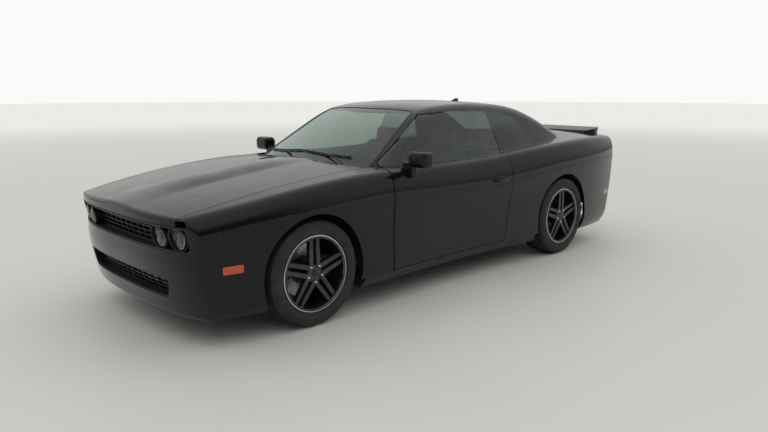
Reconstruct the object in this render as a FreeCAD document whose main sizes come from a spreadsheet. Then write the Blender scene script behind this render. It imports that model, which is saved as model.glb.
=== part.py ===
import FreeCAD, Part
import math
import os
import Sketcher
from FreeCAD import Placement, Rotation, Vector

# A two-door muscle car, full size, standing on its four wheels.
# +X is forward, +Y is the car's left and +Z is up. The origin is on the ground at mid length.
# All sizes are in millimetres.

doc = FreeCAD.newDocument("muscle_car")
sheet = doc.addObject("Spreadsheet::Sheet", "Sizes")

SIZES = [
    ("overall_length", 5022),
    ("front_overhang", 940),
    ("wheelbase", 2946),
    ("body_half_width", 961),
    ("roof_height", 1450),
    ("ground_clearance", 180),
    ("sill_top", 250),
    ("end_radius", 32),
    ("hood_lip_height", 822),
    ("cowl_height", 1030),
    ("belt_height", 985),
    ("deck_height", 1108),
    ("cowl_setback", 560),
    ("windshield_run", 740),
    ("door_front_setback", 710),
    ("door_rear_offset", 826),
    ("panel_gap", 6),
    ("door_front_gap", 10),
    ("skin_thickness", 20),
    ("lid_thickness", 26),
    ("door_thickness", 105),
    ("door_inner_half", 786),
    ("bumper_thickness", 25),
    ("roof_thickness", 42),
    ("glass_thickness", 5),
    ("seat_clearance", 0.3),
    ("track_half", 802),
    ("tyre_radius", 364),
    ("tyre_width", 275),
    ("rim_radius", 254),
    ("arch_clearance", 38),
    ("hub_radius", 78),
    ("spindle_radius", 30),
    ("spindle_clearance", 0.05),
    ("disc_radius", 180),
    ("disc_thickness", 28),
    ("spoke_count", 5),
    ("upright_thickness", 44),
    ("wheelhouse_clearance", 80),
    ("steer_wall_half", 466),
    ("rear_wall_half", 640),
    ("floor_height", 205),
    ("seat_floor_height", 330),
    ("trunk_floor_height", 470),
    ("seat_half_spacing", 372),
    ("seat_width", 500),
    ("kingpin_half", 716),
    ("hood_half_width", 728),
    ("lid_half_width", 700),
    ("lid_front_gap", 16),
    ("pin_radius", 6),
    ("pin_clearance", 0.05),
    ("lug_radius", 12),
    ("door_pin_radius", 5),
    ("door_pin_setback", 70),
    ("door_pin_half", 916),
    ("door_pin_low", 350),
    ("door_pin_high", 745),
    ("hood_pin_setback", 66),
    ("hood_pin_height", 955),
    ("lid_pin_ahead", 140),
    ("lid_pin_height", 1052),
    ("steering_wheel_radius", 185),
    ("steering_grip_radius", 15),
    ("lamp_radius", 72),
    ("plate_hole_spacing", 178),
    ("plate_hole_radius", 3.5),
]
for row, (alias, value) in enumerate(SIZES, start=1):
    sheet.set(f"A{row}", alias.replace("_", " "))
    sheet.set(f"B{row}", str(value))
    sheet.setAlias(f"B{row}", alias)
doc.recompute()


def size(alias):
    """The value of one driving dimension, read from the sheet."""
    return float(getattr(sheet, alias))


GAP = size("panel_gap")
DOOR_GAP = size("door_front_gap")
SEAT = size("seat_clearance")
LID_GAP = size("lid_front_gap")
SKIN = size("skin_thickness")
LID = size("lid_thickness")
DOOR = size("door_thickness")
BUMPER = size("bumper_thickness")
GLASS = size("glass_thickness")
ROOF = size("roof_thickness")

# Stations along the car.
NOSE = size("overall_length") / 2
TAIL = -NOSE
FRONT_AXLE = NOSE - size("front_overhang")
REAR_AXLE = FRONT_AXLE - size("wheelbase")
COWL = FRONT_AXLE - size("cowl_setback")
HEADER = COWL - size("windshield_run")
DOOR_FRONT = FRONT_AXLE - size("door_front_setback")
DOOR_REAR = REAR_AXLE + size("door_rear_offset")
BACK_TOP = REAR_AXLE + 345
BACK_BASE = REAR_AXLE - 375
LID_FRONT = REAR_AXLE - 465
AXLE_HEIGHT = size("tyre_radius")
ARCH = size("tyre_radius") + size("arch_clearance")
HALF = size("body_half_width")
FLOOR = size("ground_clearance")
SILL = size("sill_top")
ROOF_Z = size("roof_height")
BELT = size("belt_height")
DECK = size("deck_height")
COWL_Z = size("cowl_height")
LIP_Z = size("hood_lip_height")
# How far the construction surfaces run past the car's ends before the nose and tail faces trim them.
RUN_OUT = 120


def drive(points):
    """A smooth curve through chosen (station, value) points, as a function of the station."""
    ordered = sorted(points)
    curve = Part.BSplineCurve()
    curve.interpolate(
        Points=[Vector(x, 0, value) for x, value in ordered],
        Parameters=[x for x, value in ordered],
    )
    return lambda x: curve.value(x).z


# The lower body's driving curves: heights and half widths along the car.
top_mid = drive([
    (TAIL - RUN_OUT, DECK - 23), (TAIL + 250, DECK), (REAR_AXLE - 250, DECK - 4),
    (DOOR_REAR, BELT + 35), (DOOR_FRONT - 400, BELT + 20), (COWL, COWL_Z - 4),
    (FRONT_AXLE, COWL_Z - 56), (NOSE - 400, LIP_Z + 84), (NOSE, LIP_Z + 8),
    (NOSE + RUN_OUT, LIP_Z - 26),
])
edge_z = drive([
    (TAIL - RUN_OUT, DECK - 66), (TAIL + 300, DECK - 38), (REAR_AXLE - 100, DECK - 46),
    (REAR_AXLE + 450, BELT + 48), (DOOR_REAR + 150, BELT + 14), (DOOR_FRONT - 300, BELT),
    (DOOR_FRONT + 100, BELT - 5), (FRONT_AXLE, BELT - 42), (NOSE - 350, LIP_Z + 36),
    (NOSE, LIP_Z - 30), (NOSE + RUN_OUT, LIP_Z - 62),
])
edge_y = drive([
    (TAIL - RUN_OUT, HALF - 191), (TAIL + 250, HALF - 116), (REAR_AXLE, HALF - 56),
    (DOOR_REAR, HALF - 81), (DOOR_FRONT - 500, HALF - 86), (DOOR_FRONT, HALF - 68),
    (FRONT_AXLE, HALF - 56), (NOSE - 350, HALF - 111), (NOSE, HALF - 221),
    (NOSE + RUN_OUT, HALF - 271),
])
crease_z = drive([
    (TAIL - RUN_OUT, 845), (REAR_AXLE - 400, 835), (REAR_AXLE + 200, 800),
    (DOOR_REAR, 748), (DOOR_FRONT, 738), (FRONT_AXLE, 740), (NOSE - 300, 705),
    (NOSE + RUN_OUT, 655),
])
crease_y = drive([
    (TAIL - RUN_OUT, HALF - 161), (TAIL + 300, HALF - 56), (REAR_AXLE, HALF),
    (DOOR_REAR, HALF - 22), (DOOR_FRONT - 400, HALF - 30), (DOOR_FRONT, HALF - 20),
    (FRONT_AXLE, HALF), (NOSE - 400, HALF - 44), (NOSE, HALF - 161),
    (NOSE + RUN_OUT, HALF - 221),
])
low_y = drive([
    (TAIL - RUN_OUT, HALF - 171), (TAIL + 300, HALF - 76), (REAR_AXLE, HALF - 13),
    (DOOR_REAR, HALF - 45), (DOOR_FRONT - 400, HALF - 48), (DOOR_FRONT, HALF - 26),
    (FRONT_AXLE, HALF - 13), (NOSE - 400, HALF - 54), (NOSE, HALF - 161),
    (NOSE + RUN_OUT, HALF - 216),
])
SHOULDER = 55
LOW_Z = FLOOR + 150
TUCK = 45

# The nose and tail faces, seen from the side on the centre line.
nose_line = drive([
    (-50, NOSE - 150), (170, NOSE - 92), (300, NOSE - 56), (440, NOSE - 30), (560, NOSE - 22),
    (640, NOSE - 26), (720, NOSE - 10), (785, NOSE), (870, NOSE - 30), (1000, NOSE - 110),
    (1400, NOSE - 330),
])
tail_line = drive([
    (-50, TAIL + 330), (190, TAIL + 175), (320, TAIL + 95), (470, TAIL + 38), (620, TAIL + 4),
    (700, TAIL), (800, TAIL + 12), (950, TAIL + 24), (1060, TAIL + 30), (1400, TAIL + 60),
])
# The raised centre of the hood: its height along the car and its half width.
dome = drive([
    (TAIL - RUN_OUT, 0), (REAR_AXLE, 0), (DOOR_FRONT - 400, 0), (DOOR_FRONT + 60, 0),
    (COWL + 160, 14), (FRONT_AXLE, 24), (NOSE - 450, 22), (NOSE - 120, 4), (NOSE + 20, 0),
    (NOSE + RUN_OUT, 0),
])
DOME_HALF = 250


def bezier(x, poles):
    """A Bezier edge in the plane at station x, through (y, z) poles."""
    curve = Part.BezierCurve()
    curve.setPoles([Vector(x, y, z) for y, z in poles])
    return curve.toShape()


def towards(start, end, distance):
    """The point at a distance from start in the direction of end."""
    span = math.hypot(end[0] - start[0], end[1] - start[1])
    return (
        start[0] + (end[0] - start[0]) * distance / span,
        start[1] + (end[1] - start[1]) * distance / span,
    )


def body_section(x, inset):
    """The lower body's closed outline at one station, moved inwards by inset."""
    centre_z = top_mid(x) - inset
    corner_y = edge_y(x) - inset
    corner_z = edge_z(x) - inset
    crease = (crease_y(x) - inset, crease_z(x))
    low = (low_y(x) - inset, LOW_Z)
    foot = (low_y(x) - inset - TUCK, FLOOR + inset)
    start_y = corner_y - SHOULDER
    fall = (centre_z - corner_z) / corner_y ** 2
    start = (start_y, centre_z - fall * start_y ** 2)
    side = (DOME_HALF, centre_z - fall * DOME_HALF ** 2)
    rise = max(dome(x), 0.0)
    ramp = (DOME_HALF * 0.74, side[1] + 2 * fall * DOME_HALF * DOME_HALF * 0.26)
    middle = (DOME_HALF + start_y) / 2
    vertex = (middle, side[1] - 2 * fall * DOME_HALF * (middle - DOME_HALF))
    corner = towards(vertex, start, math.dist(vertex, start) + SHOULDER)
    bulge = (max(corner_y, crease[0]) + 2, (corner[1] + crease[1]) / 2)
    end = towards(corner, bulge, SHOULDER)
    hollow = (min(crease[0], low[0]) - 12, (crease[1] + low[1]) / 2 + 40)
    turn = (low[0] + 2, low[1] - (low[1] - foot[1]) * 0.6)
    half = [
        [(0, centre_z + rise), (DOME_HALF * 0.56, centre_z + rise), ramp, side],
        [side, vertex, start],
        [start, corner, end],
        [end, bulge, crease],
        [crease, hollow, low],
        [low, turn, foot],
    ]
    edges = [bezier(x, poles) for poles in half]
    edges.append(bezier(x, [foot, (0, foot[1]), (-foot[0], foot[1])]))
    for poles in reversed(half):
        edges.append(bezier(x, [(-y, z) for y, z in reversed(poles)]))
    return Part.Wire(edges)


def grid_face(columns, rows, place):
    """A smooth face through the points that place gives over a grid."""
    surface = Part.BSplineSurface()
    surface.interpolate([[place(u, v) for v in rows] for u in columns])
    return surface.toShape()


def spread(low, high, count):
    """Evenly spaced values from low to high."""
    return [low + (high - low) * i / (count - 1) for i in range(count)]


def rounding(y, depth, power):
    """How far an end face falls back at half width y, like the side of a superellipse."""
    reach = min(abs(y) / (HALF + 50), 1.0)
    return depth * (1 - (1 - reach ** power) ** (1 / power))


END_WIDTHS = spread(-HALF - 40, HALF + 40, 29)
END_HEIGHTS = spread(-40, 1300, 15)


def nose_block(inset):
    """Everything behind the nose face."""
    face = grid_face(END_WIDTHS, END_HEIGHTS, lambda y, z: Vector(
        nose_line(z) - rounding(y, 420, 2.7) - inset, y, z))
    return face.extrude(Vector(-2 * NOSE - 1500, 0, 0))


def tail_block(inset):
    """Everything ahead of the tail face."""
    face = grid_face(END_WIDTHS, END_HEIGHTS, lambda y, z: Vector(
        tail_line(z) + rounding(y, 330, 3.0) + inset, y, z))
    return face.extrude(Vector(2 * NOSE + 1500, 0, 0))


def body_solid(inset):
    """The lower body as one solid, with every outer face moved inwards by inset."""
    stations = spread(TAIL - RUN_OUT + 5, NOSE + RUN_OUT - 5, 21)
    loft = Part.makeLoft([body_section(x, inset) for x in stations], True, False)
    return loft.common(nose_block(inset)).common(tail_block(inset))


def softened(solid, radius):
    """The body with the edges of its nose and tail faces rounded."""
    for sign in (1, -1):
        edges = []
        for edge in solid.Edges:
            middle = (edge.FirstParameter + edge.LastParameter) / 2
            across = abs(edge.tangentAt(middle).x) < 0.999
            if sign * edge.valueAt(middle).x > NOSE - 600 and across and edge.Length > 5:
                edges.append(edge)
        solid = solid.makeFillet(radius, edges)
    return solid


# The greenhouse: its centre profile, its bow across the car and its leaning sides.
roof_line = drive([
    (COWL + 330, COWL_Z - 240), (COWL, COWL_Z - 22), (COWL - 400, COWL_Z + 200),
    (HEADER, ROOF_Z - 54), (HEADER - 270, ROOF_Z - 12), (HEADER - 620, ROOF_Z),
    (HEADER - 1000, ROOF_Z - 13), (BACK_TOP, ROOF_Z - 44), (BACK_TOP - 350, ROOF_Z - 148),
    (BACK_BASE, DECK + 22), (BACK_BASE - 330, DECK - 150),
])
glass_bow = drive([
    (COWL + 330, 120), (COWL - 400, 105), (HEADER, 70), (HEADER - 620, 0), (BACK_TOP, -50),
    (BACK_BASE, -85), (BACK_BASE - 330, -90),
])
side_belt = drive([
    (COWL + 330, 700), (DOOR_FRONT, 776), (DOOR_FRONT - 600, 806), (DOOR_REAR, 806),
    (REAR_AXLE, 756), (BACK_BASE - 330, 640),
])
RAIL_RADIUS = 75
CABIN_FOOT = 650


def roof_height_at(x, y):
    """The height of the roof, windshield or rear window surface."""
    spot = x + glass_bow(x) * (y / 700) ** 2
    spot = min(max(spot, BACK_BASE - 329), COWL + 329)
    return roof_line(spot) - 26 * (y / 600) ** 2


def side_at(x, z):
    """The half width of the leaning side glass surface."""
    rise = z - (BELT + 15)
    return side_belt(x) - 0.43 * rise - 0.00022 * rise * rise


def cabin_section(x, inset):
    """The cabin's closed outline at one station, moved inwards by inset."""
    low, high = 300.0, 1000.0
    for _ in range(40):
        y = (low + high) / 2
        if side_at(x, roof_height_at(x, y) - inset) - inset > y:
            low = y
        else:
            high = y
    corner = (y, roof_height_at(x, y) - inset)
    radius = RAIL_RADIUS - inset * 0.4
    start_y = y - radius
    start = (start_y, roof_height_at(x, start_y) - inset)
    slope = (roof_height_at(x, start_y + 1) - roof_height_at(x, start_y - 1)) / 2
    crown = [(0, roof_height_at(x, 0) - inset), (start_y / 3, roof_height_at(x, 0) - inset),
             (start_y * 2 / 3, start[1] - slope * start_y / 3), start]
    meet = (y, start[1] + slope * radius)
    end_z = corner[1] - radius * 0.9
    end = (side_at(x, end_z) - inset, end_z)
    lean = side_at(x, end_z + 0.5) - side_at(x, end_z - 0.5)
    drop = end_z - CABIN_FOOT
    wall = [end, (end[0] - lean * drop / 2, end_z - drop / 2),
            (side_at(x, CABIN_FOOT) - inset, CABIN_FOOT)]
    shoulder = [start, (meet[0] - 4, meet[1] - 2), end]
    half = [crown, shoulder, wall]
    edges = [bezier(x, poles) for poles in half]
    foot = wall[-1]
    edges.append(bezier(x, [foot, (0, foot[1]), (-foot[0], foot[1])]))
    for poles in reversed(half):
        edges.append(bezier(x, [(-y, z) for y, z in reversed(poles)]))
    return Part.Wire(edges)


def greenhouse(inset):
    """The cabin above the belt as one solid, moved inwards by inset, its roof rails rounded."""
    stations = spread(BACK_BASE - 290, COWL + 120, 25)
    return Part.makeLoft([cabin_section(x, inset) for x in stations], True, False)


def rounded(points, radius):
    """A closed wire through (u, v) points with its corners rounded, in the XY plane."""
    count = len(points)
    edges = []
    starts, ends = [], []
    for i, here in enumerate(points):
        before, after = points[i - 1], points[(i + 1) % count]
        turn = math.atan2(after[1] - here[1], after[0] - here[0]) - math.atan2(
            here[1] - before[1], here[0] - before[0])
        turn = abs((turn + math.pi) % (2 * math.pi) - math.pi)
        reach = min(radius * math.tan(turn / 2), math.dist(before, here) / 2.2,
                    math.dist(here, after) / 2.2)
        starts.append(towards(here, before, reach))
        ends.append(towards(here, after, reach))
    for i, here in enumerate(points):
        curve = Part.BezierCurve()
        curve.setPoles([Vector(*starts[i], 0), Vector(*here, 0), Vector(*ends[i], 0)])
        edges.append(curve.toShape())
        edges.append(Part.makeLine(Vector(*ends[i], 0), Vector(*starts[(i + 1) % count], 0)))
    return Part.Wire(edges)


def plan_prism(points, low, high, radius=1):
    """A prism over an outline of (x, y) points, from height low to high."""
    wire = rounded(points, radius)
    wire.translate(Vector(0, 0, low))
    return Part.Face(wire).extrude(Vector(0, 0, high - low))


def side_prism(points, near, far, radius=1):
    """A prism over an outline of (x, z) points, from y near to y far."""
    wire = rounded(points, radius)
    wire.rotate(Vector(0, 0, 0), Vector(1, 0, 0), 90)
    wire.translate(Vector(0, near, 0))
    return Part.Face(wire).extrude(Vector(0, far - near, 0))


def front_prism(points, back, front, radius=1):
    """A prism over an outline of (y, z) points, from station back to front."""
    wire = rounded(points, radius)
    wire.rotate(Vector(0, 0, 0), Vector(1, 1, 1), 120)
    wire.translate(Vector(back, 0, 0))
    return Part.Face(wire).extrude(Vector(front - back, 0, 0))


def block(x0, x1, y0, y1, z0, z1):
    """A box between two corners."""
    return Part.makeBox(x1 - x0, y1 - y0, z1 - z0, Vector(x0, y0, z0))


def bar(start, end, radius):
    """A round bar between two points."""
    a, b = Vector(*start), Vector(*end)
    return Part.makeCylinder(radius, (b - a).Length, a, b - a)


def mirrored(shape):
    """The same shape on the other side of the car."""
    return shape.mirror(Vector(0, 0, 0), Vector(0, 1, 0))


def both(shape):
    """A shape and its mirror image, joined."""
    return shape.fuse(mirrored(shape))


def add(label, shape):
    """One sub-part from a shape, with its own label and placement."""
    piece = doc.addObject("Part::Feature", label)
    piece.Label = label
    piece.Shape = shape
    piece.Placement = shape.Placement
    return piece


def largest(shape, count=1):
    """The biggest solids of a cut, without the slivers beside them."""
    solids = sorted(shape.Solids, key=lambda solid: -solid.Volume)[:count]
    return solids[0] if count == 1 else Part.makeCompound(solids)


# The hinges: where each pin runs, and the links that carry it.
PIN = size("pin_radius")
PIN_PLAY = size("pin_clearance")
LUG = size("lug_radius")
LINK_THICK = 12
HOOD_PIN = (COWL - size("hood_pin_setback"), size("hood_pin_height"))
HOOD_LINK_Y = 702
LID_PIN = (LID_FRONT + size("lid_pin_ahead"), size("lid_pin_height"))
LID_LINK_Y = 520
DOOR_PIN_R = size("door_pin_radius")
DOOR_PIN = (DOOR_FRONT - DOOR_GAP - size("door_pin_setback"), size("door_pin_half"))
DOOR_PIN_HEIGHTS = (size("door_pin_low"), size("door_pin_high"))


def flat_link(points, half, near, far):
    """A flat link of round-ended runs through (x, z) points, from y near to y far."""
    runs = []
    for x, z in points:
        runs.append(Part.makeCylinder(half, far - near, Vector(x, near, z), Vector(0, 1, 0)))
    for (x0, z0), (x1, z1) in zip(points, points[1:]):
        run = block(0, math.dist((x0, z0), (x1, z1)), near, far, -half, half)
        run.rotate(Vector(0, 0, 0), Vector(0, 1, 0), -math.degrees(math.atan2(z1 - z0, x1 - x0)))
        runs.append(run.translated(Vector(x0, 0, z0)))
    return runs[0].multiFuse(runs[1:])


def eye(pin, near, far):
    """The hole of a link around a pin along Y, with its running play."""
    return Part.makeCylinder(PIN, far - near, Vector(pin[0], near, pin[1]), Vector(0, 1, 0))


def pin_bracket(pin, near, low):
    """A pin along Y with the bracket outboard of it that stands on the body."""
    stud = Part.makeCylinder(PIN - PIN_PLAY, LINK_THICK + 5, Vector(pin[0], near, pin[1]),
                             Vector(0, 1, 0))
    foot = block(pin[0] - LUG, pin[0] + LUG, near + LINK_THICK + 3, near + 2 * LINK_THICK + 3,
                 low, pin[1] + LUG)
    return stud, foot


# The body's nested solids, from which every panel is cut.
OUTER = softened(body_solid(0), size("end_radius"))
INSIDE_SKIN = body_solid(SKIN)
INSIDE_LID = body_solid(LID)
INSIDE_BUMPER = body_solid(BUMPER)
INSIDE_DOOR = body_solid(DOOR)
CABIN = greenhouse(0)
CABIN_INSIDE = greenhouse(ROOF)
FAR = 2 * NOSE

WHEEL_ARCHES = [
    Part.makeCylinder(ARCH, 2 * FAR, Vector(x, -FAR, AXLE_HEIGHT), Vector(0, 1, 0))
    for x in (FRONT_AXLE, REAR_AXLE)
]
BUMPER_TOP = 606
OPENING_TOP = LIP_Z - 56
OPENING_HALF = 792
HOOD_HALF = size("hood_half_width")
HOOD_REAR = COWL + 45
HOOD_CORNER = COWL - 45
LID_HALF = size("lid_half_width")
LID_BOTTOM = DECK - 128
TAIL_BUMPER_TOP = 742


def hood_outline(grow):
    """The hood's outline seen from above, grown by a gap."""
    half = HOOD_HALF + grow
    return [
        (HOOD_REAR - grow, 0), (HOOD_REAR - grow - 12, half * 0.5), (HOOD_CORNER - grow, half),
        (FRONT_AXLE, half), (NOSE - 330, half - 6), (NOSE + 200, half - 20),
        (NOSE + 200, -half + 20), (NOSE - 330, -half + 6), (FRONT_AXLE, -half),
        (HOOD_CORNER - grow, -half), (HOOD_REAR - grow - 12, -half * 0.5),
    ]


def lid_outline(grow, ahead=0):
    """The boot lid's outline seen from above, grown by a gap to its sides and one ahead of it."""
    half = LID_HALF + grow
    return [
        (LID_FRONT + ahead, half - 60), (LID_FRONT + ahead, -half + 60),
        (TAIL - 200, -half), (TAIL - 200, half),
    ]


def hood():
    """The hood: a curved lid that wraps over the nose, with an arm to each hinge pin."""
    lid = largest(OUTER.cut(INSIDE_LID).common(
        plan_prism(hood_outline(0), OPENING_TOP + GAP, 1500, 40)))
    near, far = HOOD_LINK_Y, HOOD_LINK_Y + LINK_THICK
    x, z = HOOD_PIN
    arm = flat_link([(x, z), (x + 55, z + 8), (x + 190, z - 2)], LUG - 1, near, far)
    rib = block(x + 40, x + 195, near, far, z, z + 100)
    arm = arm.fuse(rib).common(INSIDE_SKIN)
    arm = arm.fuse(Part.makeCylinder(LUG, LINK_THICK, Vector(x, near, z), Vector(0, 1, 0)))
    arm = arm.cut(eye(HOOD_PIN, near - 1, far + 1))
    return largest(lid.fuse(both(arm)))


def door_side(grow):
    """The door's outline seen from the side, grown by a gap."""
    return [
        (DOOR_FRONT - DOOR_GAP + grow, SILL + GAP - grow), (DOOR_FRONT - DOOR_GAP + grow, BELT + 200),
        (DOOR_REAR + 4 - grow, BELT + 200), (DOOR_REAR - 16 - grow, 700),
        (DOOR_REAR + 50 - grow, SILL + GAP - grow),
    ]


DOOR_INNER = size("door_inner_half")


def door():
    """The left door: a full skin with a thicker, slightly shorter inner part behind it."""
    skin = OUTER.cut(INSIDE_SKIN).common(side_prism(door_side(0), DOOR_INNER, FAR, 30))
    inner = OUTER.cut(INSIDE_DOOR).common(side_prism(door_side(-22), DOOR_INNER, FAR, 30))
    whole = skin.fuse(inner)
    x, y = DOOR_PIN
    for z in DOOR_PIN_HEIGHTS:
        whole = whole.cut(block(x - 14, DOOR_FRONT, y - 108, y + 12, z - 20, z + 20))
        whole = whole.cut(bar((x, y, z - 41), (x, y, z + 41), DOOR_PIN_R + PIN_PLAY))
    return largest(whole)


def door_hinge(z):
    """A hinge of the left door: a pin, its eye and the arm that reaches it from the door post."""
    x, y = DOOR_PIN
    pin = bar((x, y, z - 40), (x, y, z + 40), DOOR_PIN_R)
    ring = bar((x, y, z - 12), (x, y, z + 12), DOOR_PIN_R + 3)
    inboard = block(x - 6, x + 6, y - 95, y, z - 12, z + 12)
    ahead = block(x - 6, DOOR_FRONT + 20, y - 95, y - 81, z - 12, z + 12)
    return pin.multiFuse([ring, inboard, ahead])


def fascia_side(grow):
    """The front fascia's outline seen from the side."""
    return [
        (NOSE + 200, -100), (NOSE + 200, 1300), (NOSE - 250 - grow, 1300),
        (NOSE - 290 - grow, 700), (NOSE - 400 - grow, 590 + grow),
        (FRONT_AXLE + 200 - grow, 560 + grow), (FRONT_AXLE + 200 - grow, -100),
    ]


def steered_sweep(radius):
    """The round space that the left front tyre needs behind the chin when it is steered."""
    across = size("kingpin_half")
    space = bar((FRONT_AXLE, across, -100), (FRONT_AXLE, across, 400), radius)
    return space.common(block(FRONT_AXLE, NOSE, 0, 880, -100, 400))


def front_bumper():
    """The front fascia: corners, bumper bar, chin and the openings for lamps and air."""
    shell = OUTER.cut(INSIDE_BUMPER).common(side_prism(fascia_side(0), -FAR, FAR))
    shell = shell.cut(plan_prism(hood_outline(GAP), OPENING_TOP, 1500, 40))
    shell = shell.cut(front_prism([
        (-OPENING_HALF, BUMPER_TOP), (OPENING_HALF, BUMPER_TOP),
        (OPENING_HALF, OPENING_TOP + 40), (-OPENING_HALF, OPENING_TOP + 40)],
        NOSE - 250, NOSE + 200, 30))
    shell = shell.cut(front_prism([
        (-560, 300), (560, 300), (600, 440), (-600, 440)], NOSE - 250, NOSE + 200, 40))
    shell = shell.cut(block(-FAR, NOSE - 330, -640, 640, -100, 400))
    shell = shell.cut(both(marker_prism(SEAT)))
    shell = shell.cut(both(plate_hole(NOSE - 150, NOSE + 50, FRONT_PLATE_Z)))
    shell = shell.cut(both(steered_sweep(432)))
    return largest(shell.cut(WHEEL_ARCHES[0]))


FRONT_PLATE_Z = 520
REAR_PLATE_Z = 600


def plate_hole(back, front, z):
    """The left hole of a number plate's pair."""
    half = size("plate_hole_spacing") / 2
    return bar((back, half, z), (front, half, z), size("plate_hole_radius"))


def marker_prism(grow):
    """The side marker's outline on the left front corner."""
    return side_prism([
        (NOSE - 410 - grow, 470 - grow), (NOSE - 280 + grow, 470 - grow),
        (NOSE - 280 + grow, 520 + grow), (NOSE - 410 - grow, 520 + grow)], 600, FAR, 12)


def rear_marker_prism(grow):
    """The side marker's outline on the left rear corner."""
    return side_prism([
        (TAIL + 150 - grow, 470 - grow), (TAIL + 280 + grow, 470 - grow),
        (TAIL + 280 + grow, 520 + grow), (TAIL + 150 - grow, 520 + grow)], 600, FAR, 12)


def fender():
    """The left front fender, from the door to the fascia."""
    shell = OUTER.cut(INSIDE_SKIN)
    shell = shell.common(block(DOOR_FRONT, FAR, 500, FAR, SILL, 2000))
    shell = shell.cut(side_prism(fascia_side(1), -FAR, FAR))
    shell = shell.cut(plan_prism(hood_outline(GAP), OPENING_TOP, 1500, 40))
    shell = shell.cut(plan_prism(cowl_outline(0), 700, 1500))
    return largest(shell.cut(WHEEL_ARCHES[0]))


def cowl_outline(grow):
    """The recessed band between the hood's rear edge and the windshield, seen from above."""
    half = HOOD_HALF + GAP + grow
    return [
        (HOOD_REAR + 60, 0), (HOOD_REAR + 30, half * 0.6), (HOOD_CORNER + 10, half),
        (HOOD_CORNER - 190, half), (HOOD_CORNER - 190, -half), (HOOD_CORNER + 10, -half),
        (HOOD_REAR + 30, -half * 0.6),
    ]


def side_window(grow):
    """The side glass opening's outline seen from the side."""
    return [
        (COWL - 190 + grow * 2, BELT - 200), (COWL - 190 + grow * 2, BELT + 33),
        (HEADER - 10 + grow, ROOF_Z - 92 + grow), (HEADER - 420, ROOF_Z - 76 + grow),
        (BACK_TOP + 290 - grow, ROOF_Z - 90 + grow), (BACK_TOP + 70 - grow, ROOF_Z - 150 + grow),
        (BACK_TOP - 80 - grow, BELT + 100), (BACK_TOP - 80 - grow, BELT - 200),
    ]


def windshield_outline(grow):
    """The windshield's opening seen from above."""
    return [
        (HEADER + 18 - grow, 0), (HEADER - 8 - grow, 300), (HEADER - 34 - grow, 520 + grow),
        (COWL - 60, 704 + grow), (COWL + 280, 760 + grow), (COWL + 280, -760 - grow),
        (COWL - 60, -704 - grow), (HEADER - 34 - grow, -520 - grow), (HEADER - 8 - grow, -300),
    ]


def backlight_outline(grow):
    """The rear window's opening seen from above."""
    return [
        (BACK_TOP - 8 + grow, 0), (BACK_TOP + 6 + grow, 300), (BACK_TOP + 16 + grow, 470 + grow),
        (BACK_BASE - 60, 560 + grow), (BACK_BASE - 320, 580 + grow),
        (BACK_BASE - 320, -580 - grow), (BACK_BASE - 60, -560 - grow),
        (BACK_TOP + 16 + grow, -470 - grow), (BACK_TOP + 6 + grow, -300),
    ]


ROOF_SEAM = ROOF_Z - 110
PANE_GAP = 6
B_LINE = DOOR_REAR - 5


def cabin_frame():
    """The roof and its pillars, with every window opening cut."""
    shell = CABIN.cut(CABIN_INSIDE)
    shell = shell.cut(side_prism(side_window(0), -FAR, FAR, 40))
    shell = shell.cut(plan_prism(windshield_outline(0), 800, 2000, 60))
    return shell.cut(plan_prism(backlight_outline(0), 800, 2000, 60))


FRAME = cabin_frame()
REAR_CABIN = block(-FAR, BACK_TOP + 300, -FAR, FAR, 0, ROOF_SEAM)


def roof_frame():
    """The roof panel with the windshield pillars."""
    raised = OUTER.translated(Vector(0, 0, 9))
    doors = both(block(DOOR_REAR, DOOR_FRONT, DOOR_INNER - 18, FAR, 0, 2000))
    return largest(FRAME.cut(REAR_CABIN).cut(OUTER).cut(raised.common(doors)))


def quarter():
    """The left rear quarter: the side behind the door, the rear pillar and the deck's edge."""
    shell = OUTER.cut(INSIDE_SKIN)
    shell = shell.common(block(-FAR, DOOR_FRONT, 380, FAR, SILL, 2000))
    shell = shell.cut(side_prism(door_side(GAP), DOOR_INNER - 60, FAR, 30))
    shell = shell.cut(CABIN_INSIDE)
    shell = shell.cut(plan_prism(backlight_outline(0), 800, 2000, 60))
    pillar = FRAME.common(REAR_CABIN).common(block(-FAR, FAR, 0, FAR, 0, 2000)).cut(INSIDE_SKIN)
    shell = shell.fuse(pillar)
    shell = shell.cut(plan_prism(lid_outline(GAP, LID_GAP), LID_BOTTOM - GAP, 2000, 30))
    shell = shell.cut(rear_side(1))
    shell = shell.cut(tail_panel_space(1))
    return largest(shell.cut(WHEEL_ARCHES[1]))


def rear_side(grow):
    """The rear bumper's space, seen from the side."""
    return side_prism([
        (TAIL - 200, -100), (TAIL - 200, TAIL_BUMPER_TOP + grow),
        (TAIL + 330 + grow, TAIL_BUMPER_TOP + grow), (TAIL + 420 + grow, 640),
        (REAR_AXLE - 200 + grow, 600), (REAR_AXLE - 200 + grow, -100)], -FAR, FAR)


def tail_panel_space(grow):
    """The space of the panel that carries the tail lamps."""
    return block(TAIL - 200, TAIL + 190 + grow, -800 - grow, 800 + grow, TAIL_BUMPER_TOP,
                 LID_BOTTOM - GAP + 0.5)


def tail_lamp_prism(grow):
    """The left tail lamp's outline seen from behind."""
    return front_prism([
        (70 - grow, 842 - grow), (768 + grow, 842 - grow), (768 + grow, 946 + grow),
        (70 - grow, 946 + grow)], TAIL - 200, TAIL + 160, 25)


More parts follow.
